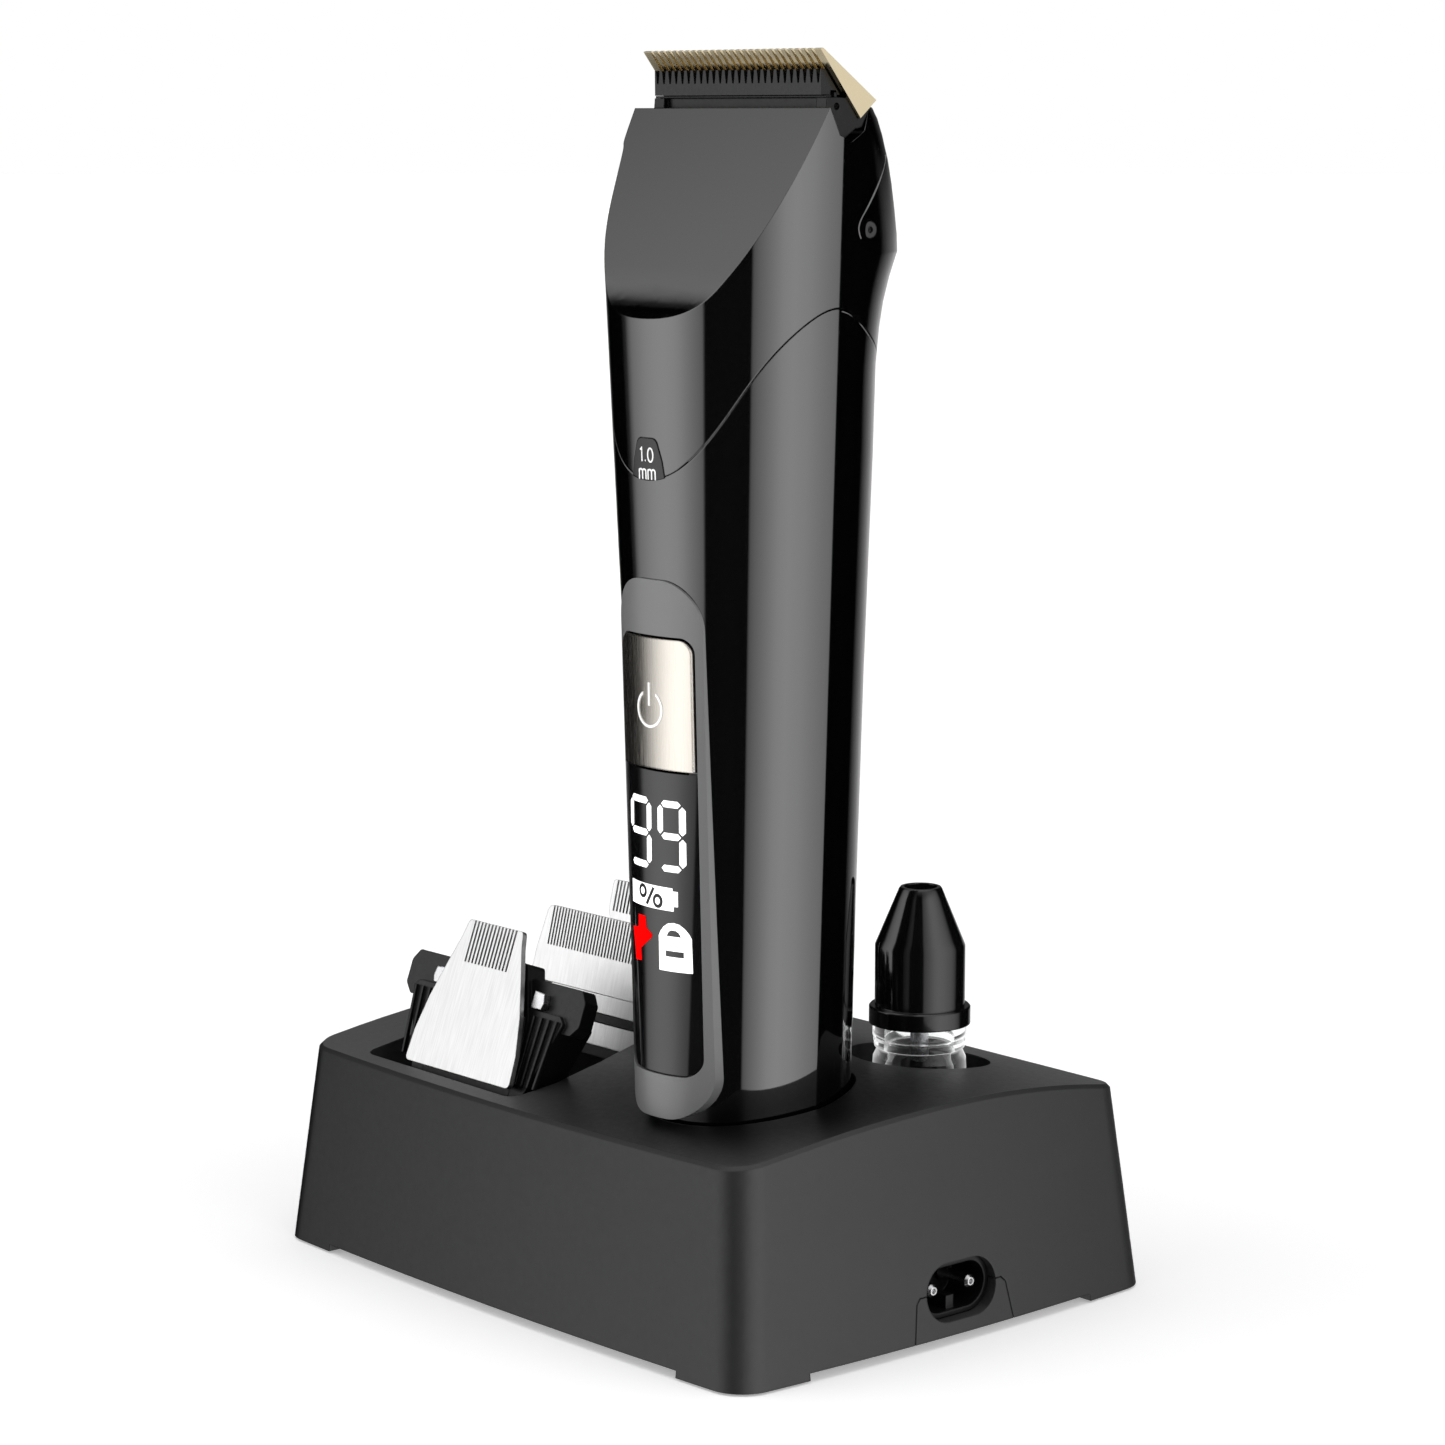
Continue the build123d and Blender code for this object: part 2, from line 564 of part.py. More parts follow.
with BuildPart() as clipper_contacts:
    for s in (-1, 1):
        add(cyl(CX + s * 5, -14.0, 13.2, 17.5, 1.45))
        add(cyl(CX + s * 5, -14.0, 16.0, 17.5, 2.2))
save(clipper_contacts, "clipper_contacts")

with BuildPart() as motor:
    add(cyl(CX, -14.0, 139.0, 170.0, 9.5))
    add(cyl(CX, -14.0, 169.9, 171.6, 3.4))
    add(cyl(CX, -14.0, 137.0, 139.1, 4.0))
    add(cyl(CX, -14.0, 160.0, 175.0, 1.06), mode=Mode.SUBTRACT)
save(motor, "motor")

with BuildPart() as motor_mount:
    add(box(CX - 13.0, CX + 13.0, -23.0, -8.0, 170.05, 172.0))
    add(cyl(CX, -14.0, 169.0, 173.0, 3.5), mode=Mode.SUBTRACT)
    add(box(CX - 13.0, CX - 10.0, -23.0, -8.0, 150.0, 170.1))
    add(box(CX + 10.0, CX + 13.0, -23.0, -8.0, 150.0, 170.1))
save(motor_mount, "motor_mount")

with BuildPart() as head_pivots:
    for s in (-1, 1):
        with Locations(Location((CX + s * 18.4, -8.7, 182.0), (0, 90, 0))):
            Cylinder(1.33, 4.0)
        with Locations(Location((CX + s * 20.3, -8.7, 182.0), (0, 90, 0))):
            Cylinder(0.5, 1.0, mode=Mode.SUBTRACT)
save(head_pivots, "head_pivots")

with BuildPart() as eccentric:
    add(cyl(CX, -14.0, 160.5, 174.1, 1.0))
    add(cyl(CX, -14.0, 173.2, 178.0, 4.2))
    add(cyl(CX, -14.0 + CUT_STROKE, 177.9, 198.7, 1.1))
save(eccentric, "eccentric")

# ================================================================ BLADE UNIT
UL = [(-20.35, 210.0), (-12.0, 199.6)]         # underside line of the fixed blade


def u_line(z, back=0.0):
    return -12.0 - (z - 199.6) * 0.803 - back


def blade_slots(n, pitch, width, plane, x0, h0, h1, depth):
    """Row of slots cut through a plate lying in the given plane."""
    with BuildPart() as p:
        with BuildSketch(plane):
            for i in range(n):
                with Locations((x0 + (i - (n - 1) / 2.0) * pitch, (h0 + h1) / 2)):
                    Rectangle(width, h1 - h0)
        extrude(amount=depth, both=True)
    return p.part


with BuildPart() as fixed_blade:
    add(prism_yz([(-20.65, 210.35), (-20.1, 210.45), (-8.6, 202.4), (-12.0, 199.6), (-20.55, 210.15)], CX - BL_HW, CX + BL_HW))
    bl_plane = Plane(origin=(CX, -20.5, 210.35), x_dir=(1, 0, 0), z_dir=(0, 0.634, 0.773))
    # tooth gaps
    add(blade_slots(26, BL_PITCH, 0.72, bl_plane, 0.0, -1.0, 5.2, 7.0), mode=Mode.SUBTRACT)
    for s in (-1, 1):
        add(cyl(CX + s * 10.5, -12.9, 190, 202.5, 1.15), mode=Mode.SUBTRACT)
save(fixed_blade, "fixed_blade")

with BuildPart() as cutter:
    add(prism_yz([(-19.35, 207.25), (-19.3, 203.2), (u_line(203.2, 0.36), 203.2), (u_line(207.25, 0.36), 207.25)], CX - 20.1, CX + 20.1))
    with BuildSketch(Plane(origin=(CX, -10, 0), x_dir=(1, 0, 0), z_dir=(0, -1, 0))):
        for i in range(26):
            xm = (i - 12.5) * BL_PITCH
            with BuildLine():
                Polyline((xm - 0.52, 207.6), (xm + 0.52, 207.6), (xm + 0.16, 205.1), (xm - 0.16, 205.1), close=True)
            make_face()
    extrude(amount=20, mode=Mode.SUBTRACT)
    # web and fork to the drive pin
    add(prism_yz([(-17.3, 203.3), (-15.3, 203.3), (-14.0, 200.5), (-14.0, 198.9), (-17.3, 198.9)], CX - 5.0, CX + 5.0))
    add(box(CX - 5.0, CX + 5.0, -17.3, -11.5, 196.8, 199.0))
    add(box(CX - 2.5, CX + 2.5, -16.6, -10.0, 196.0, 198.99), mode=Mode.SUBTRACT)
    # groove that runs over the bracket's ridges
    for s in (-1, 1):
        add(box(CX + s * 14.2 - 8.1, CX + s * 14.2 + 8.1, -17.3, -16.1, 203.0, 203.9), mode=Mode.SUBTRACT)
save(cutter, "cutter")

with BuildPart() as blade_bracket:
    add(prism_yz([(-18.75, 202.8), (u_line(202.8, 0.03), 202.8), (-12.06, 199.56), (-11.9, 198.4), (-14.9, 196.4), (-17.4, 197.3), (-18.9, 201.2)],
                 CX - 20.8, CX + 20.8))
    add(prism_yz([(-12.0, 199.52), (-8.9, 202.06), (-9.7, 200.8), (-11.2, 198.2), (-12.4, 197.9)], CX - 20.8, CX + 20.8))
    # ridges that close the gap under the cutter, and the recessed front
    for s in (-1, 1):
        add(box(CX + s * 14.0 - 6.6, CX + s * 14.0 + 6.6, -17.0, -16.4, 202.6, 203.6))
    add(box(CX - 18.4, CX + 18.4, -20.0, -17.9, 200.0, 202.9), mode=Mode.SUBTRACT)
    add(box(CX - 14.5, CX + 14.5, -17.2, -11.5, 187.0, 198.0))
    add(box(CX - 6.4, CX + 6.4, -17.65, -5.0, 180.0, 205.0), mode=Mode.SUBTRACT)
    for s in (-1, 1):
        add(cyl(CX + s * 10.5, -12.9, 180, 205, 1.15), mode=Mode.SUBTRACT)
        add(cyl(CX + s * 10.5, -12.9, 180, 192.5, 2.2), mode=Mode.SUBTRACT)
    with Locations(Location((CX, -16.6, 201.4), (0, 90, 0))):
        Cylinder(0.55, 60, mode=Mode.SUBTRACT)
save(blade_bracket, "blade_bracket")

with BuildPart() as blade_screws:
    for s in (-1, 1):
        add(cyl(CX + s * 10.5, -12.9, 191.0, 202.0, 1.12))
        add(cyl(CX + s * 10.5, -12.9, 190.2, 192.4, 1.38))
save(blade_screws, "blade_screws")

with BuildPart() as blade_spring:
    for s in (-1, 1):
        with Locations(Location((CX + s * 13.2, -16.6, 201.4), (0, 90, 0))):
            Cylinder(0.5, 13.0)
save(blade_spring, "blade_spring")

# ============================================================== SPARE HEADS
HAX, HBX, HCX = -19.9, -19.9, -28.0


def lean_plane(x, y, z, lean):
    a = math.radians(lean)
    return Plane(origin=(x, y, z), x_dir=(1, 0, 0), z_dir=(0, -math.cos(a), math.sin(a)))


def plate(pl, pts, n0, n1, rad=0.0, idx=None):
    """Outline in a leaning plane; n0..n1 are distances behind its face."""
    with BuildPart() as p:
        with BuildSketch(pl.offset(-n1)) as s:
            with BuildLine():
                Polyline(*pts, close=True)
            make_face()
            if rad:
                fillet(s.vertices(), rad)
        extrude(amount=n1 - n0)
    return p.part


# --- narrow detail head, front of the tray
PA = lean_plane(HAX, -40.3, 36.2, 20.4)
A_OUT = [(-14.6, 0.0), (-14.2, 5.5), (-12.6, 12.0), (-10.2, 18.5), (-8.2, 23.6), (-7.4, 26.6), (7.4, 26.6), (8.2, 23.6), (10.2, 18.5),
         (12.6, 12.0), (14.2, 5.5), (14.6, 0.0)]
with BuildPart() as detail_plate:
    add(plate(PA, A_OUT, 0.0, 1.0, 0.9))
    add(blade_slots(13, 0.95, 0.42, PA, 0.0, 19.2, 28.0, 3.0), mode=Mode.SUBTRACT)
save(detail_plate, "detail_plate")

with BuildPart() as detail_cutter:
    add(plate(PA, [(-5.6, 15.0), (-5.6, 25.6), (5.6, 25.6), (5.6, 15.0)], 1.3, 2.1))
    add(blade_slots(11, 0.95, 0.5, PA, 0.0, 20.5, 28.0, 5.0), mode=Mode.SUBTRACT)
save(detail_cutter, "detail_cutter")

with BuildPart() as detail_base:
    # carrier behind the plate, side lugs and ribbed grips
    add(plate(PA, [(-12.0, -2.0), (-12.0, 12.0), (-8.0, 21.5), (8.0, 21.5), (12.0, 12.0), (12.0, -2.0)], 2.5, 6.5, 0.8))
    add(plate(PA, [(-13.0, 1.0), (-12.0, 8.0), (-11.0, 12.6), (11.0, 12.6), (12.0, 8.0), (13.0, 1.0)], 1.04, 2.6))
    add(plate(PA, [(-24.2, 13.2), (-24.2, 17.4), (-22.6, 19.4), (-9.0, 19.4), (-9.0, 11.4), (-22.4, 11.4)], 3.4, 6.4, 1.0))
    add(plate(PA, [(24.2, 13.2), (24.2, 17.4), (22.6, 19.4), (9.0, 19.4), (9.0, 11.4), (22.4, 11.4)], 3.4, 6.4, 1.0))
    for s in (-1, 1):
        add(plate(PA, [(s * 11.0, -1.6), (s * 15.2, -1.6), (s * 20.9, 13.0), (s * 19.6, 14.2), (s * 11.0, 14.2)], 2.6, 9.5, 0.5))
        for k in range(4):
            x_ = 13.4 + 1.75 * k
            add(plate(PA, [(s * (x_ - 0.25 - 0.1 * k), 1.0), (s * (x_ + 0.25 - 0.1 * k), 1.0), (s * (x_ + 0.55 + 0.25 * k), 13.2), (s * (x_ + 0.05 + 0.25 * k), 13.2)], 2.0, 2.7))
    # neck down into the tray
    add(box(HAX - 11.0, HAX + 11.0, -37.4, -28.0, 18.4, 37.0))
    add(box(HAX - 4.35, HAX + 4.35, -36.2, -29.4, 18.0, 28.0), mode=Mode.SUBTRACT)
save(detail_base, "detail_base")

with BuildPart() as detail_clips:
    for s in (-1, 1):
        add(plate(PA, [(s * 12.4, 14.4), (s * 15.0, 14.5), (s * 15.4, 15.6), (s * 15.0, 17.2), (s * 12.5, 17.4)], 1.9, 3.38))
save(detail_clips, "detail_clips")

# --- wide trimming head, middle of the tray
PB = lean_plane(HBX, -8.9, 36.0, 14.0)
with BuildPart() as wide_plate:
    add(plate(PB, [(-21.4, 9.3), (-21.0, 15.0), (-19.6, 22.9), (19.6, 22.9), (21.0, 15.0), (21.4, 9.3)], 0.0, 1.0, 1.5))
    add(blade_slots(44, 0.84, 0.36, PB, 0.0, 15.8, 25.0, 3.0), mode=Mode.SUBTRACT)
save(wide_plate, "wide_plate")

with BuildPart() as wide_cutter:
    add(plate(PB, [(-18.6, 13.6), (-18.6, 22.0), (18.6, 22.0), (18.6, 13.6)], 1.3, 2.1))
    add(blade_slots(38, 0.93, 0.45, PB, 0.0, 17.0, 25.0, 5.0), mode=Mode.SUBTRACT)
save(wide_cutter, "wide_cutter")

with BuildPart() as wide_guide:
    add(plate(PB, [(-15.0, 6.0), (-15.4, 9.25), (15.4, 9.25), (15.0, 6.0)], 0.25, 1.2, 0.4))
    add(plate(PB, [(-8.6, 0.2), (-10.8, 4.2), (10.8, 4.2), (8.6, 0.2)], 0.6, 1.6, 0.4))
save(wide_guide, "wide_guide")

with BuildPart() as wide_base:
    add(plate(PB, [(-9.0, -2.0), (-9.0, 3.9), (-16.2, 5.4), (-16.2, 12.6), (16.2, 12.6), (16.2, 5.9), (7.5, 5.9), (7.5, -2.0)], 2.5, 7.5, 0.6))
    add(plate(PB, [(-8.0, 1.0), (-9.0, 4.25), (-14.4, 5.0), (-14.4, 5.9), (14.4, 5.9), (14.4, 5.0), (9.0, 4.25), (8.0, 1.0)], 1.64, 2.6))
    add(plate(PB, [(-15.0, 4.3), (-15.0, 5.9), (15.0, 5.9), (15.0, 4.3)], 0.4, 1.7))
    add(plate(PB, [(-16.2, 9.4), (-16.2, 12.4), (16.2, 12.4), (16.2, 9.4)], 1.24, 2.6))
    add(box(HBX - 11.0, HBX + 6.4, -6.0, 3.4, 18.4, 37.0))
    add(box(HBX - 6.85, HBX + 1.85, -4.7, 2.1, 18.0, 28.0), mode=Mode.SUBTRACT)
save(wide_base, "wide_base")

# --- T-shaped head, back of the tray
PC = lean_plane(HCX, 9.4, 36.0, 14.0)
with BuildPart() as tee_plate:
    add(plate(PC, [(-8.5, 3.0), (-9.2, 11.5), (-10.6, 15.2), (-14.4, 16.6), (-15.6, 19.0), (-15.6, 24.6), (15.6, 24.6), (15.6, 19.0), (14.4, 16.6),
                   (10.6, 15.2), (9.2, 11.5), (8.5, 3.0)], 0.0, 1.0, 0.7))
    add(blade_slots(31, 0.95, 0.42, PC, 0.0, 18.8, 26.0, 3.0), mode=Mode.SUBTRACT)
save(tee_plate, "tee_plate")

with BuildPart() as tee_cutter:
    add(plate(PC, [(-12.6, 17.4), (-12.6, 22.4), (12.6, 22.4), (12.6, 17.4), (6.0, 16.0), (-6.0, 16.0)], 1.3, 2.1))
    add(blade_slots(25, 0.95, 0.5, PC, 0.0, 19.4, 25.0, 5.0), mode=Mode.SUBTRACT)
save(tee_cutter, "tee_cutter")

with BuildPart() as tee_base:
    add(plate(PC, [(-9.5, -2.0), (-9.5, 14.0), (-7.0, 16.5), (7.0, 16.5), (9.5, 14.0), (9.5, -2.0)], 2.5, 8.5, 0.8))
    add(plate(PC, [(-8.0, 3.6), (-8.0, 13.0), (8.0, 13.0), (8.0, 3.6)], 1.04, 2.6))
    add(box(HCX - 10.0, HCX + 9.6, 12.4, 21.8, 18.4, 37.0))
    add(box(HCX - 4.35, HCX + 4.35, 13.7, 20.5, 18.0, 28.0), mode=Mode.SUBTRACT)
save(tee_base, "tee_base")

with BuildPart() as tray_posts:
    add(box(HAX - 4.0, HAX + 4.0, -35.85, -29.75, 18.05, 27.5))
    add(box(HBX - 6.5, HBX + 1.5, -4.35, 1.75, 18.05, 27.5))
    add(box(HCX - 4.0, HCX + 4.0, 14.05, 20.15, 18.05, 27.5))
save(tray_posts, "tray_posts")

# ================================================================= NOSE HEAD
with BuildPart() as nose_seat:
    add(cyl(NX, NY, 24.05, 35.0, 5.6))
    add(cyl(NX, NY, 26.0, 40.0, 3.6), mode=Mode.SUBTRACT)
save(nose_seat, "nose_seat")

with BuildPart() as nose_collar:
    with BuildSketch(Plane.XZ.offset(-NY)):
        with BuildLine():
            Polyline((NX + 6.1, 25.0), (NX + 7.5, 25.0), (NX + 7.6, 31.0), (NX + 8.2, 36.0), (NX + 8.1, 38.0), (NX + 7.3, 39.6),
                     (NX + 7.9, 39.9), (NX + 8.05, 41.1), (NX + 7.8, 41.4), (NX + 8.2, 41.8), (NX + 8.2, 44.0), (NX + 6.1, 44.0), close=True)
        make_face()
    revolve(axis=Axis((NX, NY, 0), (0, 0, 1)))
save(nose_collar, "nose_collar")

with BuildPart() as nose_body:
    with BuildSketch(Plane.XZ.offset(-NY)):
        with BuildLine():
            Polyline((NX + 5.2, 44.05), (NX + 8.85, 44.05), (NX + 8.85, 46.9), (NX + 8.6, 47.15), (NX + 7.85, 47.15), (NX + 7.85, 57.8),
                     (NX + 3.75, 67.7), (NX + 3.5, 68.0), (NX + 2.9, 68.0), (NX + 2.9, 60.5), (NX + 5.2, 56.0), close=True)
        make_face()
    revolve(axis=Axis((NX, NY, 0), (0, 0, 1)))
save(nose_body, "nose_body")

with BuildPart() as nose_rotor:
    add(cyl(NX, NY, 36.0, 61.0, 1.6))
    add(cyl(NX, NY, 46.0, 52.0, 3.4))
    add(cyl(NX, NY, 60.5, 66.4, 2.4))
    for a in (0, 60, 120):
        with Locations(Location((NX, NY, 65.4), (0, 0, a))):
            Box(6.0, 0.7, 3.0, mode=Mode.SUBTRACT)
save(nose_rotor, "nose_rotor")

with BuildPart() as nose_bearing:
    add(cyl(NX, NY, 52.8, 55.0, 5.15))
    add(cyl(NX, NY, 50.0, 60.0, 2.0), mode=Mode.SUBTRACT)
save(nose_bearing, "nose_bearing")
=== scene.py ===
import bpy
import json
import math
import numpy as np
from mathutils import Matrix, Vector


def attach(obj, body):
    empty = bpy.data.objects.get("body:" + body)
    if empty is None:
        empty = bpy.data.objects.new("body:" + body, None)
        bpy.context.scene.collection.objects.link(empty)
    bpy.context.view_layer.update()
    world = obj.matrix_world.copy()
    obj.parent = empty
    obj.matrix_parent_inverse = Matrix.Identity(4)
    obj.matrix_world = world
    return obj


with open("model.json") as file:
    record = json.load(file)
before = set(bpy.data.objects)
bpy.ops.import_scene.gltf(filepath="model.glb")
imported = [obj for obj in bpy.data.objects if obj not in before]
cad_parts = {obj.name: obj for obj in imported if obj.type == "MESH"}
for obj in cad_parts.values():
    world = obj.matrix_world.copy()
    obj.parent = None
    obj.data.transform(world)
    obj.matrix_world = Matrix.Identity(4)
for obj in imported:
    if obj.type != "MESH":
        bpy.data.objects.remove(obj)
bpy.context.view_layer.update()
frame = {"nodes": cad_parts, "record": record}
NODES = frame["nodes"]
MM = 0.001
CX = 29.35                                     # clipper's symmetry plane, mm

# ------------------------------------------------------------------- camera
AZ, PITCH, ROLL = math.radians(48.606), math.radians(8.780), math.radians(0.02)
back = Vector((math.sin(AZ) * math.cos(PITCH), -math.cos(AZ) * math.cos(PITCH), math.sin(PITCH)))
right = Vector((math.cos(AZ), math.sin(AZ), 0.0))
up = back.cross(right)
r2 = right * math.cos(ROLL) + up * math.sin(ROLL)
u2 = up * math.cos(ROLL) - right * math.sin(ROLL)
cam_data = bpy.data.cameras.new("camera")
cam_data.lens = 97.337
cam_data.sensor_width = 36.0
cam_data.shift_x = 0.000865
cam_data.shift_y = -0.00007
cam_data.clip_start, cam_data.clip_end = 0.02, 60.0
cam = bpy.data.objects.new("camera", cam_data)
bpy.context.scene.collection.objects.link(cam)
m = Matrix.Identity(4)
for i in range(3):
    m[i][0], m[i][1], m[i][2] = r2[i], u2[i], back[i]
m.translation = Vector((0.504614, -0.441371, 0.199442))
cam.matrix_world = m
bpy.context.scene.camera = cam

# ---------------------------------------------------- shapes of the clipper
ZK_LOW = [145.0, 160.0, 166.0, 170.0, 174.0, 178.0]
YK_LOW = [5.53, 5.7, 6.6, 7.7, 9.5, 11.8]
ZK_UP = [178.0, 181.0, 185.0, 189.0, 193.0, 197.0, 199.5, 203.0]
YK_UP = [11.8, 11.5, 10.6, 9.5, 8.0, 5.8, 3.9, -0.2]


def fam_body(z):
    t = (z - 44.0) / 100.0
    w = 16.08 + 4.84 * t
    yc = -15.69 - 1.235 * t
    yf = -34.24 - 3.945 * t
    b = 19.19 + 1.17 * t + 2.05 * t * t
    return w, yc, yf, yc + b


def fam_bezel(z):
    t = (z - 44.0) / 100.0
    w = 15.55 + 5.39 * t
    yc = -15.32 - 1.76 * t
    yf = -37.1 - 0.15 * t - 1.1 * t * t
    b = 18.6 - 0.22 * t + 3.41 * t * t
    return w, yc, yf, yc + b


def hermite_table(zk, yk, first=None):
    zk, yk = np.array(zk), np.array(yk)
    s = np.gradient(yk, zk)
    if first is not None:
        s[0] = first
    zs = np.arange(zk[0], zk[-1] + 0.001, 0.1)
    i = np.clip(np.searchsorted(zk, zs, side="right") - 1, 0, len(zk) - 2)
    h = zk[i + 1] - zk[i]
    u = (zs - zk[i]) / h
    ys = (yk[i] * (2 * u ** 3 - 3 * u ** 2 + 1) + s[i] * h * (u ** 3 - 2 * u ** 2 + u) + yk[i + 1] * (3 * u ** 2 - 2 * u ** 3) + s[i + 1] * h * (u ** 3 - u ** 2))
    zs = np.concatenate([[zs[0] - 5.0], zs, [zs[-1] + 5.0]])
    ys = np.concatenate([[ys[0] - 5.0 * s[0]], ys, [ys[-1] + 5.0 * s[-1]]])
    return zs, ys


TAB_LOW = hermite_table(ZK_LOW, YK_LOW, 0.04)
TAB_UP = hermite_table(ZK_UP, YK_UP)


def back_line(z, upper):
    w, yc, yf, yb = fam_body(z)
    low = np.where(z < 145.0, yb, np.interp(z, *TAB_LOW))
    return np.where(upper, np.interp(z, *TAB_UP), low)


def field(P, kind, grow, front, upper):
    """Signed shape function of the oval sections; P in mm."""
    x, y, z = P[:, 0], P[:, 1], P[:, 2]
    w, yc, yf, yb = (fam_body if kind == "body" else fam_bezel)(z)
    if kind == "body":
        yb = back_line(z, upper)
    w, yf, yb = w + grow, yf - grow, yb + grow
    X = np.abs(x - CX)
    n, mm_, k = 2.163, 2.225, math.tan(math.radians(13.36))
    f = (X / w) ** n + np.maximum((yc - y) / (yc - yf), 0.0) ** n - 1.0
    q = np.maximum(y - yc, 0.0)
    g = (X / np.maximum(1 - k * q / w, 1e-3) / w) ** mm_ + (q / (yb - yc)) ** mm_ - 1.0
    return np.where(front, f, g), yc


def shape_normals(P, kind, grow, front, upper):
    f0, _ = field(P, kind, grow, front, upper)
    g = np.zeros_like(P)
    for a in range(3):
        h = 0.3 if a == 2 else 0.02
        d = np.zeros(3)
        d[a] = h
        f1, _ = field(P + d, kind, grow, front, upper)
        f2, _ = field(P - d, kind, grow, front, upper)
        g[:, a] = (f1 - f2) / (2 * h)
    # on the parting plane only one side is defined: take the inner step there
    ln = np.maximum(np.linalg.norm(g, axis=1), 1e-9)
    return g / ln[:, None], np.abs(f0) / ln


def front_y(x, z, kind="body", grow=0.0):
    w, yc, yf, yb = (fam_body if kind == "body" else fam_bezel)(z)
    w, yf = w + grow, yf - grow
    n = 2.163
    return yc - (yc - yf) * max(1 - (abs(x - CX) / w) ** n, 0.0) ** (1 / n)


def flank_x(y, z, side=1, grow=0.0):
    w, yc, yf, yb = fam_body(z)
    yb = float(back_line(np.array([z]), np.array([z > 178.0]))[0])
    w, yf, yb = w + grow, yf - grow, yb + grow
    if y <= yc:
        X = w * max(1 - ((yc - y) / (yc - yf)) ** 2.163, 0.0) ** (1 / 2.163)
    else:
        q = y - yc
        X = w * max(1 - (q / (yb - yc)) ** 2.225, 0.0) ** (1 / 2.225) * (1 - math.tan(math.radians(13.36)) * q / w)
    return CX + side * X


# ------------------------------------------------------------ shading helper
def corner_data(mesh):
    nv, nl = len(mesh.vertices), len(mesh.loops)
    co = np.zeros(nv * 3); mesh.vertices.foreach_get("co", co); co = co.reshape(-1, 3)
    vi = np.zeros(nl, np.int32); mesh.loops.foreach_get("vertex_index", vi)
    tot = np.zeros(len(mesh.polygons), np.int32); mesh.polygons.foreach_get("loop_total", tot)
    return co, vi, tot


def smooth_corners(obj, angle=26.0, shape=None):
    """Smooth shading across edges flatter than angle. shape = (kind, grow, turn): corners on that oval surface take its exact normal."""
    mesh = obj.data
    co, vi, tot = corner_data(mesh)
    if len(tot) == 0 or not (tot == 3).all():
        return
    P = co[vi].reshape(-1, 3, 3)
    e1, e2, e3 = P[:, 1] - P[:, 0], P[:, 2] - P[:, 1], P[:, 0] - P[:, 2]
    fn = np.cross(e1, -e3)
    area = np.linalg.norm(fn, axis=1)
    ok = area > 1e-14
    fn = np.where(ok[:, None], fn / np.maximum(area, 1e-20)[:, None], [0, 0, 1.0])

    def ang(a, b):
        c = (a * b).sum(1) / np.maximum(np.linalg.norm(a, axis=1) * np.linalg.norm(b, axis=1), 1e-20)
        return np.arccos(np.clip(c, -1, 1))
    wts = np.stack([ang(e1, -e3), ang(e2, -e1), ang(e3, -e2)], 1)
    wts[~ok] = 0.0
    lab = np.zeros(len(tot), np.int64)
    ana = None
    if shape is not None:
        kind, grow, turn = shape
        cen = P.mean(1) * 1000.0
        w, yc, yf, yb = (fam_body if kind == "body" else fam_bezel)(cen[:, 2])
        front = cen[:, 1] <= yc
        upper = cen[:, 2] > 178.0
        nc, dist = shape_normals(cen, kind, grow, front, upper)
        lab = ((dist < 0.3) & ((nc * fn).sum(1) > math.cos(math.radians(14.0)))).astype(np.int64)
        ana, _ = shape_normals(co[vi] * 1000.0, kind, grow, np.repeat(front, 3), np.repeat(upper, 3))
        if turn:
            c_, s_ = math.cos(math.radians(turn)), math.sin(math.radians(turn))
            ana = np.stack([ana[:, 0] * c_ + ana[:, 1] * s_, ana[:, 1] * c_ - ana[:, 0] * s_, ana[:, 2]], 1)
    key = np.round(co / 3e-6).astype(np.int64)
    _, pid = np.unique(key, axis=0, return_inverse=True)
    pid = pid.reshape(-1)[vi]
    order = np.argsort(pid, kind="stable")
    sp = pid[order]
    starts = np.flatnonzero(np.r_[True, sp[1:] != sp[:-1]])
    sizes = np.diff(np.r_[starts, len(sp)])
    fidx = np.arange(len(vi)) // 3
    wl = wts.reshape(-1)
    out = np.zeros((len(vi), 3))
    cmin = math.cos(math.radians(angle))
    for k in np.unique(sizes):
        st = starts[sizes == k]
        idx = order[st[:, None] + np.arange(k)[None, :]]
        for c0 in range(0, len(idx), 4000):
            ii = idx[c0:c0 + 4000]
            nn = fn[fidx[ii]]
            ww = wl[ii]
            ll = lab[fidx[ii]]
            dots = np.einsum("gic,gjc->gij", nn, nn)
            mask = (dots > cmin) & (ll[:, :, None] == ll[:, None, :])
            s = np.einsum("gij,gj,gjc->gic", mask.astype(float), ww, nn)
            out[ii] = s
    ln = np.linalg.norm(out, axis=1)
    bad = ln < 1e-9
    out[bad] = fn[fidx[bad]]
    ln[bad] = 1.0
    out /= ln[:, None]
    if ana is not None:
        use = lab[fidx] == 1
        out[use] = ana[use]
    mesh.polygons.foreach_set("use_smooth", np.ones(len(tot), bool))
    mesh.normals_split_custom_set([tuple(v) for v in out])
    mesh.update()


# ---------------------------------------------------------------- materials
def socket(node, *names):
    for n in names:
        if n in node.inputs:
            return node.inputs[n]
    raise KeyError(names)


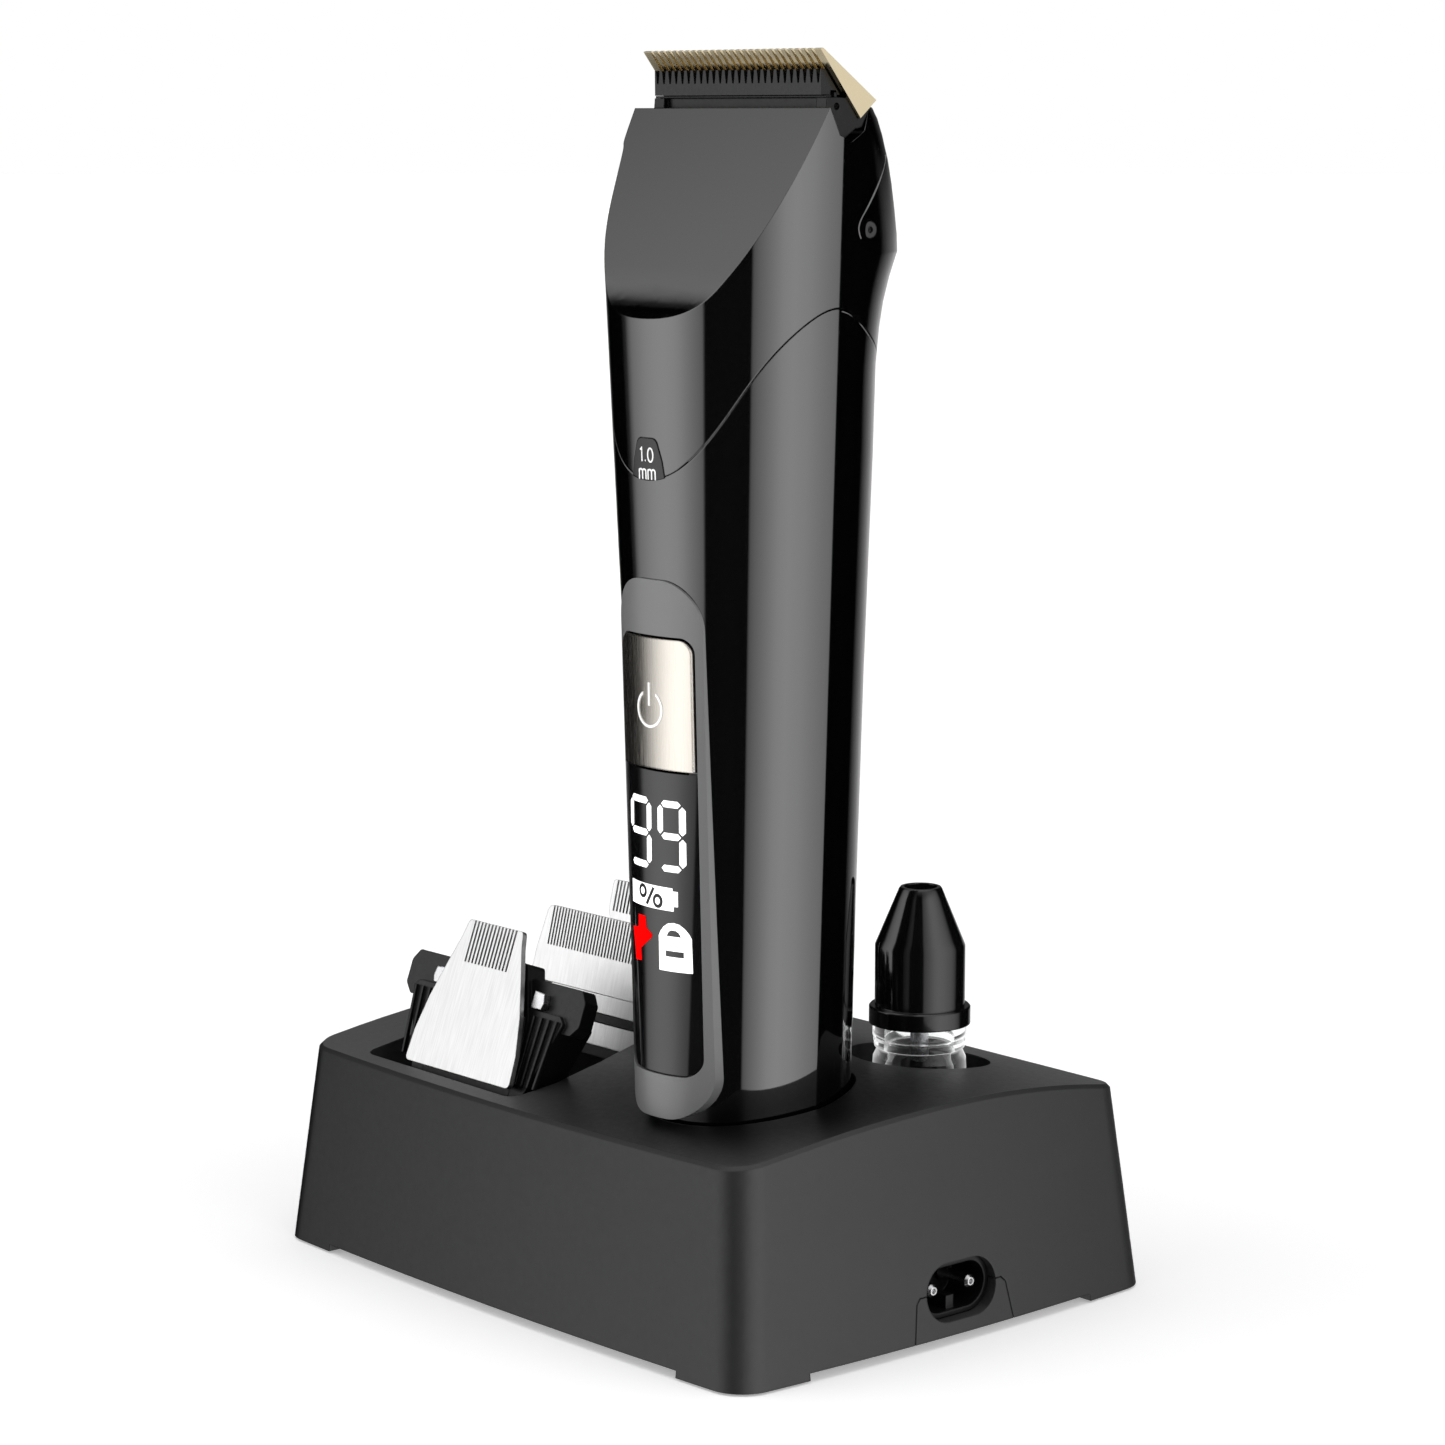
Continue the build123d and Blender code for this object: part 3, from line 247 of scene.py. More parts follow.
def material(name, base, rough, metal=0.0, ior=1.5, var=0.10, var_scale=60.0, rvar=0.05, rscale=300.0, bump=0.0, bscale=3000.0, bdist=2e-5,
             stretch=(1, 1, 1), coat=0.0, coat_rough=0.05, emis=None, estr=0.0, trans=0.0, edge=0.0, tint=None, pattern=None, aniso=0.0, detail=3.0):
    mt = bpy.data.materials.new(name)
    mt.use_nodes = True
    nt = mt.node_tree
    nt.nodes.clear()
    N, L = nt.nodes, nt.links
    out = N.new("ShaderNodeOutputMaterial")
    b = N.new("ShaderNodeBsdfPrincipled")
    L.new(b.outputs["BSDF"], out.inputs["Surface"])
    tc = N.new("ShaderNodeTexCoord")
    mp = N.new("ShaderNodeMapping")
    mp.inputs["Scale"].default_value = stretch
    L.new(tc.outputs["Object"], mp.inputs["Vector"])
    # broad colour variation
    n1 = N.new("ShaderNodeTexNoise")
    n1.inputs["Scale"].default_value = var_scale
    n1.inputs["Detail"].default_value = detail
    L.new(mp.outputs["Vector"], n1.inputs["Vector"])
    ramp = N.new("ShaderNodeValToRGB")
    lo = [c * (1 - var) for c in base[:3]]
    hi = [min(c * (1 + var), 1.0) for c in base[:3]]
    if tint:
        hi = [min(c * t, 1.0) for c, t in zip(hi, tint)]
    ramp.color_ramp.elements[0].position = 0.3
    ramp.color_ramp.elements[1].position = 0.7
    ramp.color_ramp.elements[0].color = (*lo, 1)
    ramp.color_ramp.elements[1].color = (*hi, 1)
    L.new(n1.outputs["Fac"], ramp.inputs["Fac"])
    col = ramp.outputs["Color"]
    if pattern is not None:
        col = pattern(nt, tc, col)
    L.new(col, b.inputs["Base Color"])
    # roughness variation
    n2 = N.new("ShaderNodeTexNoise")
    n2.inputs["Scale"].default_value = rscale
    n2.inputs["Detail"].default_value = 4.0
    L.new(mp.outputs["Vector"], n2.inputs["Vector"])
    mr = N.new("ShaderNodeMapRange")
    mr.inputs["From Min"].default_value, mr.inputs["From Max"].default_value = 0.3, 0.7
    mr.inputs["To Min"].default_value, mr.inputs["To Max"].default_value = max(rough - rvar, 0.01), min(rough + rvar, 1.0)
    L.new(n2.outputs["Fac"], mr.inputs["Value"])
    L.new(mr.outputs["Result"], b.inputs["Roughness"])
    b.inputs["Metallic"].default_value = metal
    b.inputs["IOR"].default_value = ior
    if aniso:
        socket(b, "Anisotropic").default_value = aniso
    if coat:
        socket(b, "Coat Weight").default_value = coat
        socket(b, "Coat Roughness").default_value = coat_rough
    if trans:
        socket(b, "Transmission Weight").default_value = trans
    if emis:
        socket(b, "Emission Color").default_value = (*emis, 1)
        socket(b, "Emission Strength").default_value = estr
    last = None
    if edge:
        bv = N.new("ShaderNodeBevel")
        bv.samples = 6
        bv.inputs["Radius"].default_value = edge
        last = bv.outputs["Normal"]
    if bump:
        n3 = N.new("ShaderNodeTexNoise")
        n3.inputs["Scale"].default_value = bscale
        n3.inputs["Detail"].default_value = 2.0
        L.new(mp.outputs["Vector"], n3.inputs["Vector"])
        bp = N.new("ShaderNodeBump")
        bp.inputs["Strength"].default_value = bump
        bp.inputs["Distance"].default_value = bdist
        L.new(n3.outputs["Fac"], bp.inputs["Height"])
        if last is not None:
            L.new(last, bp.inputs["Normal"])
        last = bp.outputs["Normal"]
    if last is not None:
        L.new(last, b.inputs["Normal"])
    return mt


def traces(nt, tc, col):
    """Copper traces under the solder mask."""
    N, L = nt.nodes, nt.links
    br = N.new("ShaderNodeTexBrick")
    br.inputs["Scale"].default_value = 260.0
    br.inputs["Mortar Size"].default_value = 0.035
    br.inputs["Color1"].default_value = (0.012, 0.075, 0.03, 1)
    br.inputs["Color2"].default_value = (0.016, 0.095, 0.04, 1)
    br.inputs["Mortar"].default_value = (0.10, 0.22, 0.08, 1)
    mp = N.new("ShaderNodeMapping")
    mp.inputs["Rotation"].default_value = (math.radians(90), 0, 0)
    L.new(tc.outputs["Object"], mp.inputs["Vector"])
    L.new(mp.outputs["Vector"], br.inputs["Vector"])
    return br.outputs["Color"]


def windings(nt, tc, col):
    N, L = nt.nodes, nt.links
    wv = N.new("ShaderNodeTexWave")
    wv.bands_direction = "Z"
    wv.inputs["Scale"].default_value = 420.0
    wv.inputs["Distortion"].default_value = 0.4
    mx = N.new("ShaderNodeMix")
    mx.data_type = "RGBA"
    mx.inputs[7].default_value = (0.28, 0.10, 0.03, 1)
    L.new(tc.outputs["Object"], wv.inputs["Vector"])
    L.new(wv.outputs["Fac"], mx.inputs[0])
    L.new(col, mx.inputs[6])
    return mx.outputs[2]


def chain(nt):
    def op(kind, a=None, b=None, clamp=False):
        nd = nt.nodes.new("ShaderNodeMath")
        nd.operation = kind
        nd.use_clamp = clamp
        for i, v in enumerate((a, b)):
            if v is None:
                continue
            if isinstance(v, (int, float)):
                nd.inputs[i].default_value = v
            else:
                nt.links.new(v, nd.inputs[i])
        return nd.outputs[0]
    return op


def ramp_value(nt, v, f0, f1, t0, t1):
    nd = nt.nodes.new("ShaderNodeMapRange")
    nd.interpolation_type = "SMOOTHSTEP"
    for k, q in (("From Min", f0), ("From Max", f1), ("To Min", t0), ("To Max", t1)):
        nd.inputs[k].default_value = q
    nt.links.new(v, nd.inputs["Value"])
    return nd.outputs["Result"]


def painted_stand_light(nt, tc, col):
    """Painted light and shade on the stand: each face is made lighter or darker along its length as the light falls on
    it, and the top is darkened round the clipper's foot as painted shadow and reflection.
    """
    op = chain(nt)
    P = nt.nodes.new("ShaderNodeSeparateXYZ")
    Q = nt.nodes.new("ShaderNodeSeparateXYZ")
    nt.links.new(tc.outputs["Object"], P.inputs["Vector"])
    nt.links.new(tc.outputs["Normal"], Q.inputs["Vector"])
    x, y = P.outputs["X"], P.outputs["Y"]
    wl = ramp_value(nt, Q.outputs["Y"], -0.5, -0.9, 0.0, 1.0)
    wr = ramp_value(nt, Q.outputs["X"], 0.5, 0.9, 0.0, 1.0)
    wt = ramp_value(nt, Q.outputs["Z"], 0.75, 0.95, 0.0, 1.0)
    fl = op("ADD", op("MULTIPLY", op("ADD", x, 0.062), 0.62 / 0.124), 0.22 - 1.0)
    fr = op("ADD", op("MULTIPLY", op("ADD", y, 0.0475), -0.34 / 0.095), 1.56 - 1.0)
    dx, dy = op("SUBTRACT", x, 0.0294), op("ADD", y, 0.016)
    dist = op("SQRT", op("ADD", op("MULTIPLY", dx, dx), op("MULTIPLY", dy, dy)))
    ft = op("SUBTRACT", ramp_value(nt, dist, 0.020, 0.056, 0.12, 3.3), 1.0)
    f = op("ADD", op("ADD", op("ADD", op("MULTIPLY", wl, fl), op("MULTIPLY", wr, fr)), op("MULTIPLY", wt, ft)), 1.0)
    vm = nt.nodes.new("ShaderNodeVectorMath")
    vm.operation = "SCALE"
    nt.links.new(col, vm.inputs[0])
    nt.links.new(f, vm.inputs["Scale"])
    return vm.outputs["Vector"]


M = {}
M["gloss_shell"] = material("gloss_shell", (0.0012, 0.0012, 0.0013), 0.045, ior=1.95, var=0.25, var_scale=35, rvar=0.012, rscale=900, bump=0.15, bscale=420, bdist=3e-7, edge=0.00022)
M["bezel_grey"] = material("bezel_grey", (0.172, 0.172, 0.174), 0.30, var=0.008, var_scale=40, rvar=0.006, rscale=120)
M["display_window"] = material("display_window", (0.005, 0.005, 0.0055), 0.07, ior=1.54, var=0.2, var_scale=60, rvar=0.015, rscale=1500, bump=0.15, bscale=500, bdist=3e-7, edge=0.0002)
M["button_champagne"] = material("button_champagne", (0.58, 0.545, 0.495), 0.24, metal=1.0, var=0.07, var_scale=9000, rvar=0.05, rscale=9000, bump=0.20, bscale=12000, bdist=2.0e-6,
                                 stretch=(1, 1, 0.012), edge=0.0005, aniso=0.35)
# the white print glows faintly: painted brightness from emission
M["icon_dark"] = material("icon_print", (0.86, 0.86, 0.85), 0.42, var=0.03, var_scale=2000, rvar=0.05, rscale=4000, bump=0.1, bscale=9000, bdist=1e-6, emis=(1, 1, 1), estr=0.25)
M["display_white"] = material("display_white", (0.8, 0.8, 0.8), 0.4, ior=1.1, var=0.02, var_scale=3000, rvar=0.04, rscale=3000, bump=0.05, bscale=8000, bdist=1e-6, emis=(1.0, 1.0, 1.0), estr=1.1)
M["display_red"] = material("display_red", (0.55, 0.001, 0.001), 0.5, ior=1.02, var=0.03, var_scale=3000, rvar=0.04, rscale=3000, bump=0.05, bscale=8000, bdist=1e-6, emis=(1.0, 0.0005, 0.0005), estr=1.0)
M["indicator_black"] = material("indicator_black", (0.004, 0.004, 0.0045), 0.12, ior=1.45, var=0.2, var_scale=80, rvar=0.02, rscale=900, bump=0.1, bscale=900, bdist=5e-7, edge=0.00015)
# the stand's colour carries painted light and shade: faces lit unevenly and a painted shadow round the clipper's foot
M["stand_plastic"] = material("stand_plastic", (0.021, 0.021, 0.0215), 0.42, ior=1.40, var=0.05, var_scale=45, rvar=0.03, rscale=900, bump=0.16, bscale=6500, bdist=4e-6, edge=0.00035, pattern=painted_stand_light)
M["stand_cover"] = material("stand_cover", (0.030, 0.030, 0.031), 0.52, var=0.08, var_scale=60, rvar=0.05, rscale=1500, bump=0.35, bscale=2600, bdist=1.2e-5, edge=0.0003)
M["rubber_pad"] = material("rubber_pad", (0.020, 0.020, 0.021), 0.82, var=0.15, var_scale=120, rvar=0.06, rscale=1500, bump=0.5, bscale=2200, bdist=2.5e-5)
M["screw_steel"] = material("screw_steel", (0.50, 0.50, 0.51), 0.30, metal=1.0, var=0.10, var_scale=900, rvar=0.08, rscale=2500, bump=0.3, bscale=5000, bdist=3e-6, edge=0.0002)
M["inlet_black"] = material("inlet_black", (0.004, 0.004, 0.0045), 0.36, ior=1.4, var=0.12, var_scale=200, rvar=0.05, rscale=1800, bump=0.2, bscale=5000, bdist=4e-6, edge=0.0004)
M["pin_metal"] = material("pin_metal", (0.60, 0.60, 0.61), 0.20, metal=1.0, var=0.05, var_scale=900, rvar=0.05, rscale=4000, bump=0.2, bscale=6000, bdist=1.5e-6, edge=0.0002)
M["circuit_board"] = material("circuit_board", (0.015, 0.09, 0.035), 0.30, var=0.1, var_scale=400, rvar=0.06, rscale=1200, bump=0.3, bscale=2200, bdist=1e-5, pattern=traces)
M["transformer_block"] = material("transformer_block", (0.10, 0.07, 0.03), 0.38, var=0.15, var_scale=200, rvar=0.08, rscale=900, bump=0.4, bscale=1500, bdist=3e-5, pattern=windings)
M["contact_gold"] = material("contact_gold", (0.83, 0.62, 0.27), 0.22, metal=1.0, var=0.06, var_scale=900, rvar=0.06, rscale=4000, bump=0.2, bscale=6000, bdist=2e-6)
M["module_black"] = material("module_black", (0.02, 0.02, 0.021), 0.45, var=0.1, var_scale=300, rvar=0.06, rscale=1500, bump=0.2, bscale=4000, bdist=5e-6)
M["switch_metal"] = material("switch_metal", (0.58, 0.58, 0.58), 0.34, metal=1.0, var=0.08, var_scale=900, rvar=0.08, rscale=2500, bump=0.3, bscale=5000, bdist=3e-6)
M["frame_plastic"] = material("frame_plastic", (0.05, 0.05, 0.053), 0.5, var=0.08, var_scale=200, rvar=0.06, rscale=1500, bump=0.25, bscale=3000, bdist=8e-6)
M["battery_wrap"] = material("battery_wrap", (0.03, 0.10, 0.30), 0.24, var=0.10, var_scale=90, rvar=0.06, rscale=700, bump=0.3, bscale=500, bdist=3e-5)
M["motor_can"] = material("motor_can", (0.52, 0.52, 0.53), 0.30, metal=1.0, var=0.08, var_scale=1200, rvar=0.08, rscale=2500, bump=0.3, bscale=4000, bdist=3e-6, stretch=(1, 1, 0.05))
M["pivot_metal"] = material("pivot_metal", (0.012, 0.012, 0.012), 0.12, var=0.15, var_scale=600, rvar=0.03, rscale=2500, bump=0.1, bscale=3000, bdist=1e-6, edge=0.0003)
M["drive_steel"] = material("drive_steel", (0.58, 0.58, 0.60), 0.26, metal=1.0, var=0.08, var_scale=1500, rvar=0.08, rscale=3500, bump=0.3, bscale=5000, bdist=3e-6, stretch=(1, 1, 8))
M["blade_titanium"] = material("blade_titanium", (0.66, 0.575, 0.40), 0.24, metal=1.0, var=0.03, var_scale=150, rvar=0.02, rscale=200,
                               tint=(1.0, 0.98, 0.93))
M["cutter_ceramic"] = material("cutter_ceramic", (0.0055, 0.0055, 0.006), 0.30, ior=1.38, var=0.2, var_scale=300, rvar=0.05, rscale=1800, bump=0.2, bscale=4000, bdist=3e-6, edge=0.00015)
M["bracket_black"] = material("bracket_black", (0.0035, 0.0035, 0.004), 0.33, ior=1.35, var=0.2, var_scale=200, rvar=0.05, rscale=1500, bump=0.25, bscale=3500, bdist=5e-6, edge=0.0003)
M["spring_steel"] = material("spring_steel", (0.60, 0.60, 0.61), 0.25, metal=1.0, var=0.06, var_scale=900, rvar=0.06, rscale=3000, bump=0.2, bscale=5000, bdist=2e-6)
M["blade_steel"] = material("blade_steel", (0.72, 0.72, 0.72), 0.38, metal=1.0, var=0.07, var_scale=3600, rvar=0.06, rscale=4200, bump=0.30, bscale=6200, bdist=2.5e-6,
                            stretch=(1, 0.05, 0.05), edge=0.0002, detail=8.0)
# a darker copy of the blade steel for the cutters behind the comb plates: painted shade
M["blade_steel_shaded"] = material("blade_steel_shaded", (0.022, 0.022, 0.022), 0.42, metal=1.0, var=0.10, var_scale=2600, rvar=0.06, rscale=4200, bump=0.3, bscale=5200, bdist=3e-6)
M["head_black"] = material("head_black", (0.0045, 0.0045, 0.0048), 0.40, ior=1.40, var=0.12, var_scale=150, rvar=0.06, rscale=1500, bump=0.25, bscale=4200, bdist=5e-6, edge=0.0003)
M["clip_steel"] = material("clip_steel", (0.66, 0.66, 0.67), 0.28, metal=1.0, var=0.08, var_scale=900, rvar=0.08, rscale=3000, bump=0.25, bscale=5000, bdist=3e-6, edge=0.0003)
M["clear_plastic"] = material("clear_plastic", (0.97, 0.98, 0.98), 0.05, ior=1.42, var=0.01, var_scale=300, rvar=0.02, rscale=900, bump=0.15, bscale=500, bdist=4e-6, trans=1.0)
# painted sheen: the stand's specular level follows its painted light and shade factor
nt_ = M["stand_plastic"].node_tree
bs_ = next(n for n in nt_.nodes if n.type == "BSDF_PRINCIPLED")
sc_ = next(n for n in nt_.nodes if n.type == "VECT_MATH")
nt_.links.new(chain(nt_)("MULTIPLY", chain(nt_)("POWER", sc_.inputs["Scale"].links[0].from_socket, 0.35), 0.5), socket(bs_, "Specular IOR Level", "Specular"))
# painted glow: the collar's emission rises where its wall is seen edge-on, standing in for bright highlights on its
# thick clear edges
nt_ = M["clear_plastic"].node_tree
bs_ = next(n for n in nt_.nodes if n.type == "BSDF_PRINCIPLED")
lw_ = nt_.nodes.new("ShaderNodeLayerWeight")
lw_.inputs["Blend"].default_value = 0.55
nt_.links.new(chain(nt_)("MULTIPLY", chain(nt_)("POWER", lw_.outputs["Facing"], 3.0), 0.45), socket(bs_, "Emission Strength"))
socket(bs_, "Emission Color").default_value = (1, 1, 1, 1)
# grey for the seam tubes: painted highlight along the seam's lip on the black shell
M["seam_lip"] = material("seam_lip", (0.16, 0.16, 0.165), 0.25, var=0.05, var_scale=400, rvar=0.04, rscale=2500, bump=0.05, bscale=4000, bdist=1e-6)
M["nose_black"] = material("nose_black", (0.003, 0.003, 0.0032), 0.10, ior=1.55, var=0.2, var_scale=120, rvar=0.03, rscale=1200, bump=0.15, bscale=900, bdist=1e-6, edge=0.0003)

SLOT = {}
for entry in frame["record"].get("materials", []):
    SLOT[entry["slot"]] = entry
for name, obj in NODES.items():
    for i, ms in enumerate(obj.material_slots):
        if ms.material is not None:
            key = ms.material.name.split(".")[0]
            if key in M and ms.material is not M[key]:
                ms.material = M[key]

NODE_SLOT = {
    "stand_plastic": ["stand_shell", "inlet_panel"], "stand_cover": ["bottom_plate", "stand_bosses", "tray_posts", "nose_seat"],
    "rubber_pad": ["stand_feet"], "screw_steel": ["stand_screws", "blade_screws"], "inlet_black": ["inlet_insert"], "pin_metal": ["inlet_pins"],
    "circuit_board": ["stand_pcb", "main_pcb"], "transformer_block": ["stand_transformer"], "contact_gold": ["stand_contacts", "clipper_contacts"],
    "gloss_shell": ["head_shell", "grip_shell"], "bezel_grey": ["bezel"], "display_window": ["display_lens"], "button_champagne": ["power_button"],
    "icon_dark": ["button_icon"], "display_white": ["display_symbols"], "display_red": ["display_plug_icon"], "indicator_black": ["indicator_tab"],
    "module_black": ["display_module"], "switch_metal": ["button_switch"], "frame_plastic": ["inner_frame", "motor_mount", "nose_bearing"],
    "battery_wrap": ["battery"], "motor_can": ["motor"], "pivot_metal": ["head_pivots"], "drive_steel": ["eccentric", "nose_rotor"],
    "blade_titanium": ["fixed_blade"], "cutter_ceramic": ["cutter"], "bracket_black": ["blade_bracket"], "spring_steel": ["blade_spring"],
    "blade_steel": ["detail_plate", "wide_plate", "wide_guide", "tee_plate"], "blade_steel_shaded": ["detail_cutter", "wide_cutter", "tee_cutter"],
    "head_black": ["detail_base", "wide_base", "tee_base"], "clip_steel": ["detail_clips"], "clear_plastic": ["nose_collar"], "nose_black": ["nose_body"]}
for slot, names in NODE_SLOT.items():
    for n in names:
        o = NODES[n]
        if len(o.material_slots) == 0:
            o.data.materials.append(M[slot])
        for ms in o.material_slots:
            ms.material = M[slot]

SHAPES = {"grip_shell": ("body", 0.0, 0), "head_shell": ("body", 0.0, 0), "bezel": ("bezel", 0.0, 0), "display_lens": ("bezel", -0.25, 0),
          "power_button": ("bezel", 0.3, 8.0), "indicator_tab": ("body", 0.1, 0)}
for name, obj in NODES.items():
    smooth_corners(obj, 26.0, SHAPES.get(name))


# --------------------------------------------------------- added fine pieces
def mesh_object(name, verts, faces, mat, smooth=False):
    me = bpy.data.meshes.new(name)
    me.from_pydata(verts, [], faces)
    me.update()
    me.materials.append(mat)
    if smooth:
        me.polygons.foreach_set("use_smooth", [True] * len(me.polygons))
    ob = bpy.data.objects.new(name, me)
    bpy.context.scene.collection.objects.link(ob)
    return ob


def strokes_on_front(name, strokes, width, grow, thick, mat, kind="body"):
    """Flat characters that lie on the clipper's front. strokes are lists of (x, z) in mm; each becomes a thin raised ribbon."""
    verts, faces = [], []
    for pts in strokes:
        closed = len(pts) > 2 and pts[0] == pts[-1]
        p = [np.array(q, float) for q in (pts[:-1] if closed else pts)]
        n = len(p)
        left, right_ = [], []
        for i in range(n):
            if closed:
                a, b = p[(i - 1) % n], p[(i + 1) % n]
                d0, d1 = p[i] - a, b - p[i]
            else:
                d0 = p[i] - p[i - 1] if i > 0 else p[1] - p[0]
                d1 = p[i + 1] - p[i] if i < n - 1 else d0
            d0 = d0 / np.linalg.norm(d0)
            d1 = d1 / np.linalg.norm(d1)
            t = d0 + d1
            t = t / max(np.linalg.norm(t), 1e-6)
            nr = np.array([-t[1], t[0]])
            sc = 1.0 / max(nr @ np.array([-d0[1], d0[0]]), 0.5)
            left.append(p[i] + nr * width / 2 * sc)
            right_.append(p[i] - nr * width / 2 * sc)
        base = len(verts)
        for a, b in zip(left, right_):
            for q in (a, b):
                for g in (grow, grow + thick):
                    y = front_y(CX + q[0], q[1], kind, g)
                    verts.append(((CX + q[0]) * MM, y * MM, q[1] * MM))
        cnt = n if closed else n - 1
        for i in range(cnt):
            i0, i1 = base + 4 * i, base + 4 * ((i + 1) % n)
            faces += [(i0 + 1, i0 + 3, i1 + 3, i1 + 1), (i0, i1, i1 + 2, i0 + 2), (i0, i0 + 1, i1 + 1, i1), (i0 + 2, i1 + 2, i1 + 3, i0 + 3)]
        if not closed:
            faces += [(base, base + 2, base + 3, base + 1), (base + 4 * n - 4, base + 4 * n - 3, base + 4 * n - 1, base + 4 * n - 2)]
    ob = mesh_object(name, verts, faces, mat)
    return ob


def arc(cx, cz, rx, rz, a0, a1, n=12):
    return [(cx + rx * math.cos(math.radians(a0 + (a1 - a0) * i / n)), cz + rz * math.sin(math.radians(a0 + (a1 - a0) * i / n))) for i in range(n + 1)]


# cutting length mark: 1.0 mm, on the arched indicator
marks = []
marks.append([(-1.55, 147.2), (-1.15, 147.55), (-1.15, 145.35)])
marks.append([(-0.42, 145.52), (-0.24, 145.52)])
zero = arc(0.92, 146.45, 0.62, 1.1, 0, 360, 20)
zero[-1] = zero[0]
marks.append(zero)
for x0 in (-1.95, 0.25):
    marks.append([(x0, 142.5), (x0, 144.1)])
    marks.append([(x0, 143.6)] + arc(x0 + 0.42, 143.72, 0.42, 0.4, 180, 0, 8) + [(x0 + 0.84, 142.5)])
    marks.append([(x0 + 0.84, 143.6)] + arc(x0 + 1.26, 143.72, 0.42, 0.4, 180, 0, 8) + [(x0 + 1.68, 142.5)])
mk = strokes_on_front("length_mark", marks, 0.27, 0.11, 0.03, M["icon_dark"])
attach(mk, "clipper")

# black percent sign printed on the battery character
percent = []
for cx_, cz_ in ((-2.95, 75.0), (0.95, 73.85)):
    ring = arc(cx_, cz_, 0.85, 0.9, 0, 360, 20)
    ring[-1] = ring[0]
    percent.append(ring)
percent.append([(-1.85, 72.95), (0.0, 75.9)])
pc = strokes_on_front("percent_sign", percent, 0.55, -0.12, 0.02, M["inlet_black"], "bezel")
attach(pc, "clipper")

# thin strip that closes the gap between the moving cutter and its bracket
sx0, sx1, sy0, sy1, sz0, sz1 = [q * MM for q in (CX - 20.6, CX + 20.6, -18.7, -17.6, 202.81, 203.16)]
sv = [(a, b, c) for a in (sx0, sx1) for b in (sy0, sy1) for c in (sz0, sz1)]
sf = [(0, 1, 3, 2), (4, 6, 7, 5), (0, 4, 5, 1), (2, 3, 7, 6), (0, 2, 6, 4), (1, 5, 7, 3)]
strip = mesh_object("cutter_gap_strip", sv, sf, M["bracket_black"])
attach(strip, "blade_unit")


def tube_on_flank(name, path, radius, mat, side, grow=0.0):
    cu = bpy.data.curves.new(name, "CURVE")
    cu.dimensions = "3D"
    cu.bevel_depth = radius * MM
    cu.bevel_resolution = 2
    cu.use_fill_caps = True
    sp = cu.splines.new("NURBS")
    sp.points.add(len(path) - 1)
    for i, (y, z) in enumerate(path):
        sp.points[i].co = (flank_x(y, z, side, grow) * MM, y * MM, z * MM, 1.0)
    sp.order_u = 3
    sp.use_endpoint_u = True
    cu.materials.append(mat)
    ob = bpy.data.objects.new(name, cu)
    bpy.context.scene.collection.objects.link(ob)
    return ob


# grey tubes along the head's flank seam: painted highlight on the seam's lip
seam_path = [(-0.4, 193.6), (-3.0, 191.2), (-6.0, 188.6), (-9.0, 186.0), (-11.3, 184.1), (-12.3, 182.9), (-12.3, 181.7), (-11.5, 180.7)]
for side, tag in ((1, "r"), (-1, "l")):
    t = tube_on_flank("head_flank_seam_highlight_" + tag, seam_path, 0.17, M["seam_lip"], side, -0.02)
    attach(t, "clipper")

# painted highlight: a light grey line along the back part of the wave seam, on both flanks
wave_path = [(-16.4, 169.35), (-14.6, 169.0), (-12.7, 168.1), (-9.6, 166.7), (-6.6, 165.0), (-3.3, 163.2), (0.0, 161.5), (3.0, 160.3), (5.6, 159.5)]
for side, tag in ((1, "r"), (-1, "l")):
    t = tube_on_flank("wave_seam_highlight_" + tag, wave_path, 0.10, M["seam_lip"], side, -0.02)
    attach(t, "clipper")

# -------------------------------------------------------------------- stage
floor_mat = material("pale_floor", (0.86, 0.86, 0.86), 0.9, var=0.004, var_scale=3, rvar=0.02, rscale=20, emis=(1, 1, 1), estr=0.33)
seg = 96
fv = [(0.0, 0.0, -0.0004)]
for rr_ in (0.4, 1.2, 4.0, 14.0):
    fv += [(rr_ * math.cos(2 * math.pi * i / seg), rr_ * math.sin(2 * math.pi * i / seg), -0.0004) for i in range(seg)]
ff = [(0, 1 + i, 1 + (i + 1) % seg) for i in range(seg)]
for k in range(3):
    a, b = 1 + k * seg, 1 + (k + 1) * seg
    ff += [(a + i, b + i, b + (i + 1) % seg, a + (i + 1) % seg) for i in range(seg)]
floor = mesh_object("studio_floor", fv, ff, floor_mat)
floor.visible_glossy = False

# --------------------------------------------------------------- soft light
# two tall soft panels round the object: one front left, one at the right
LIGHT = [(-180, 0.0), (-160, 0.0), (-140, 0.10), (-122, 0.10), (-108, 0.0), (-76, 0.0), (-70, 0.12), (-66, 0.58),
         (-62, 0.97), (-54, 1.35), (-48, 1.66), (-41, 1.89), (-32, 2.03), (-22, 1.99), (-15, 1.79), (-9, 1.52), (-3, 1.27), (4, 1.0), (7.2, 0.85),
         (9.2, 0.02), (53.5, 0.02), (55.5, 0.66), (60, 0.93), (72, 1.41), (84, 1.91), (94, 2.05), (109, 1.85), (131, 1.22), (143, 0.62), (151, 0.0)]
world = bpy.data.worlds.new("studio")
bpy.context.scene.world = world
world.use_nodes = True
nt = world.node_tree
nt.nodes.clear()
N, L = nt.nodes, nt.links
wo = N.new("ShaderNodeOutputWorld")
tc = N.new("ShaderNodeTexCoord")
sx = N.new("ShaderNodeSeparateXYZ")
L.new(tc.outputs["Generated"], sx.inputs["Vector"])


def math_node(op, a=None, b=None, clamp=False):
    nd = N.new("ShaderNodeMath")
    nd.operation = op
    nd.use_clamp = clamp
    for i, v in enumerate((a, b)):
        if v is None:
            continue
        if isinstance(v, (int, float)):
            nd.inputs[i].default_value = v
        else:
            L.new(v, nd.inputs[i])
    return nd.outputs[0]


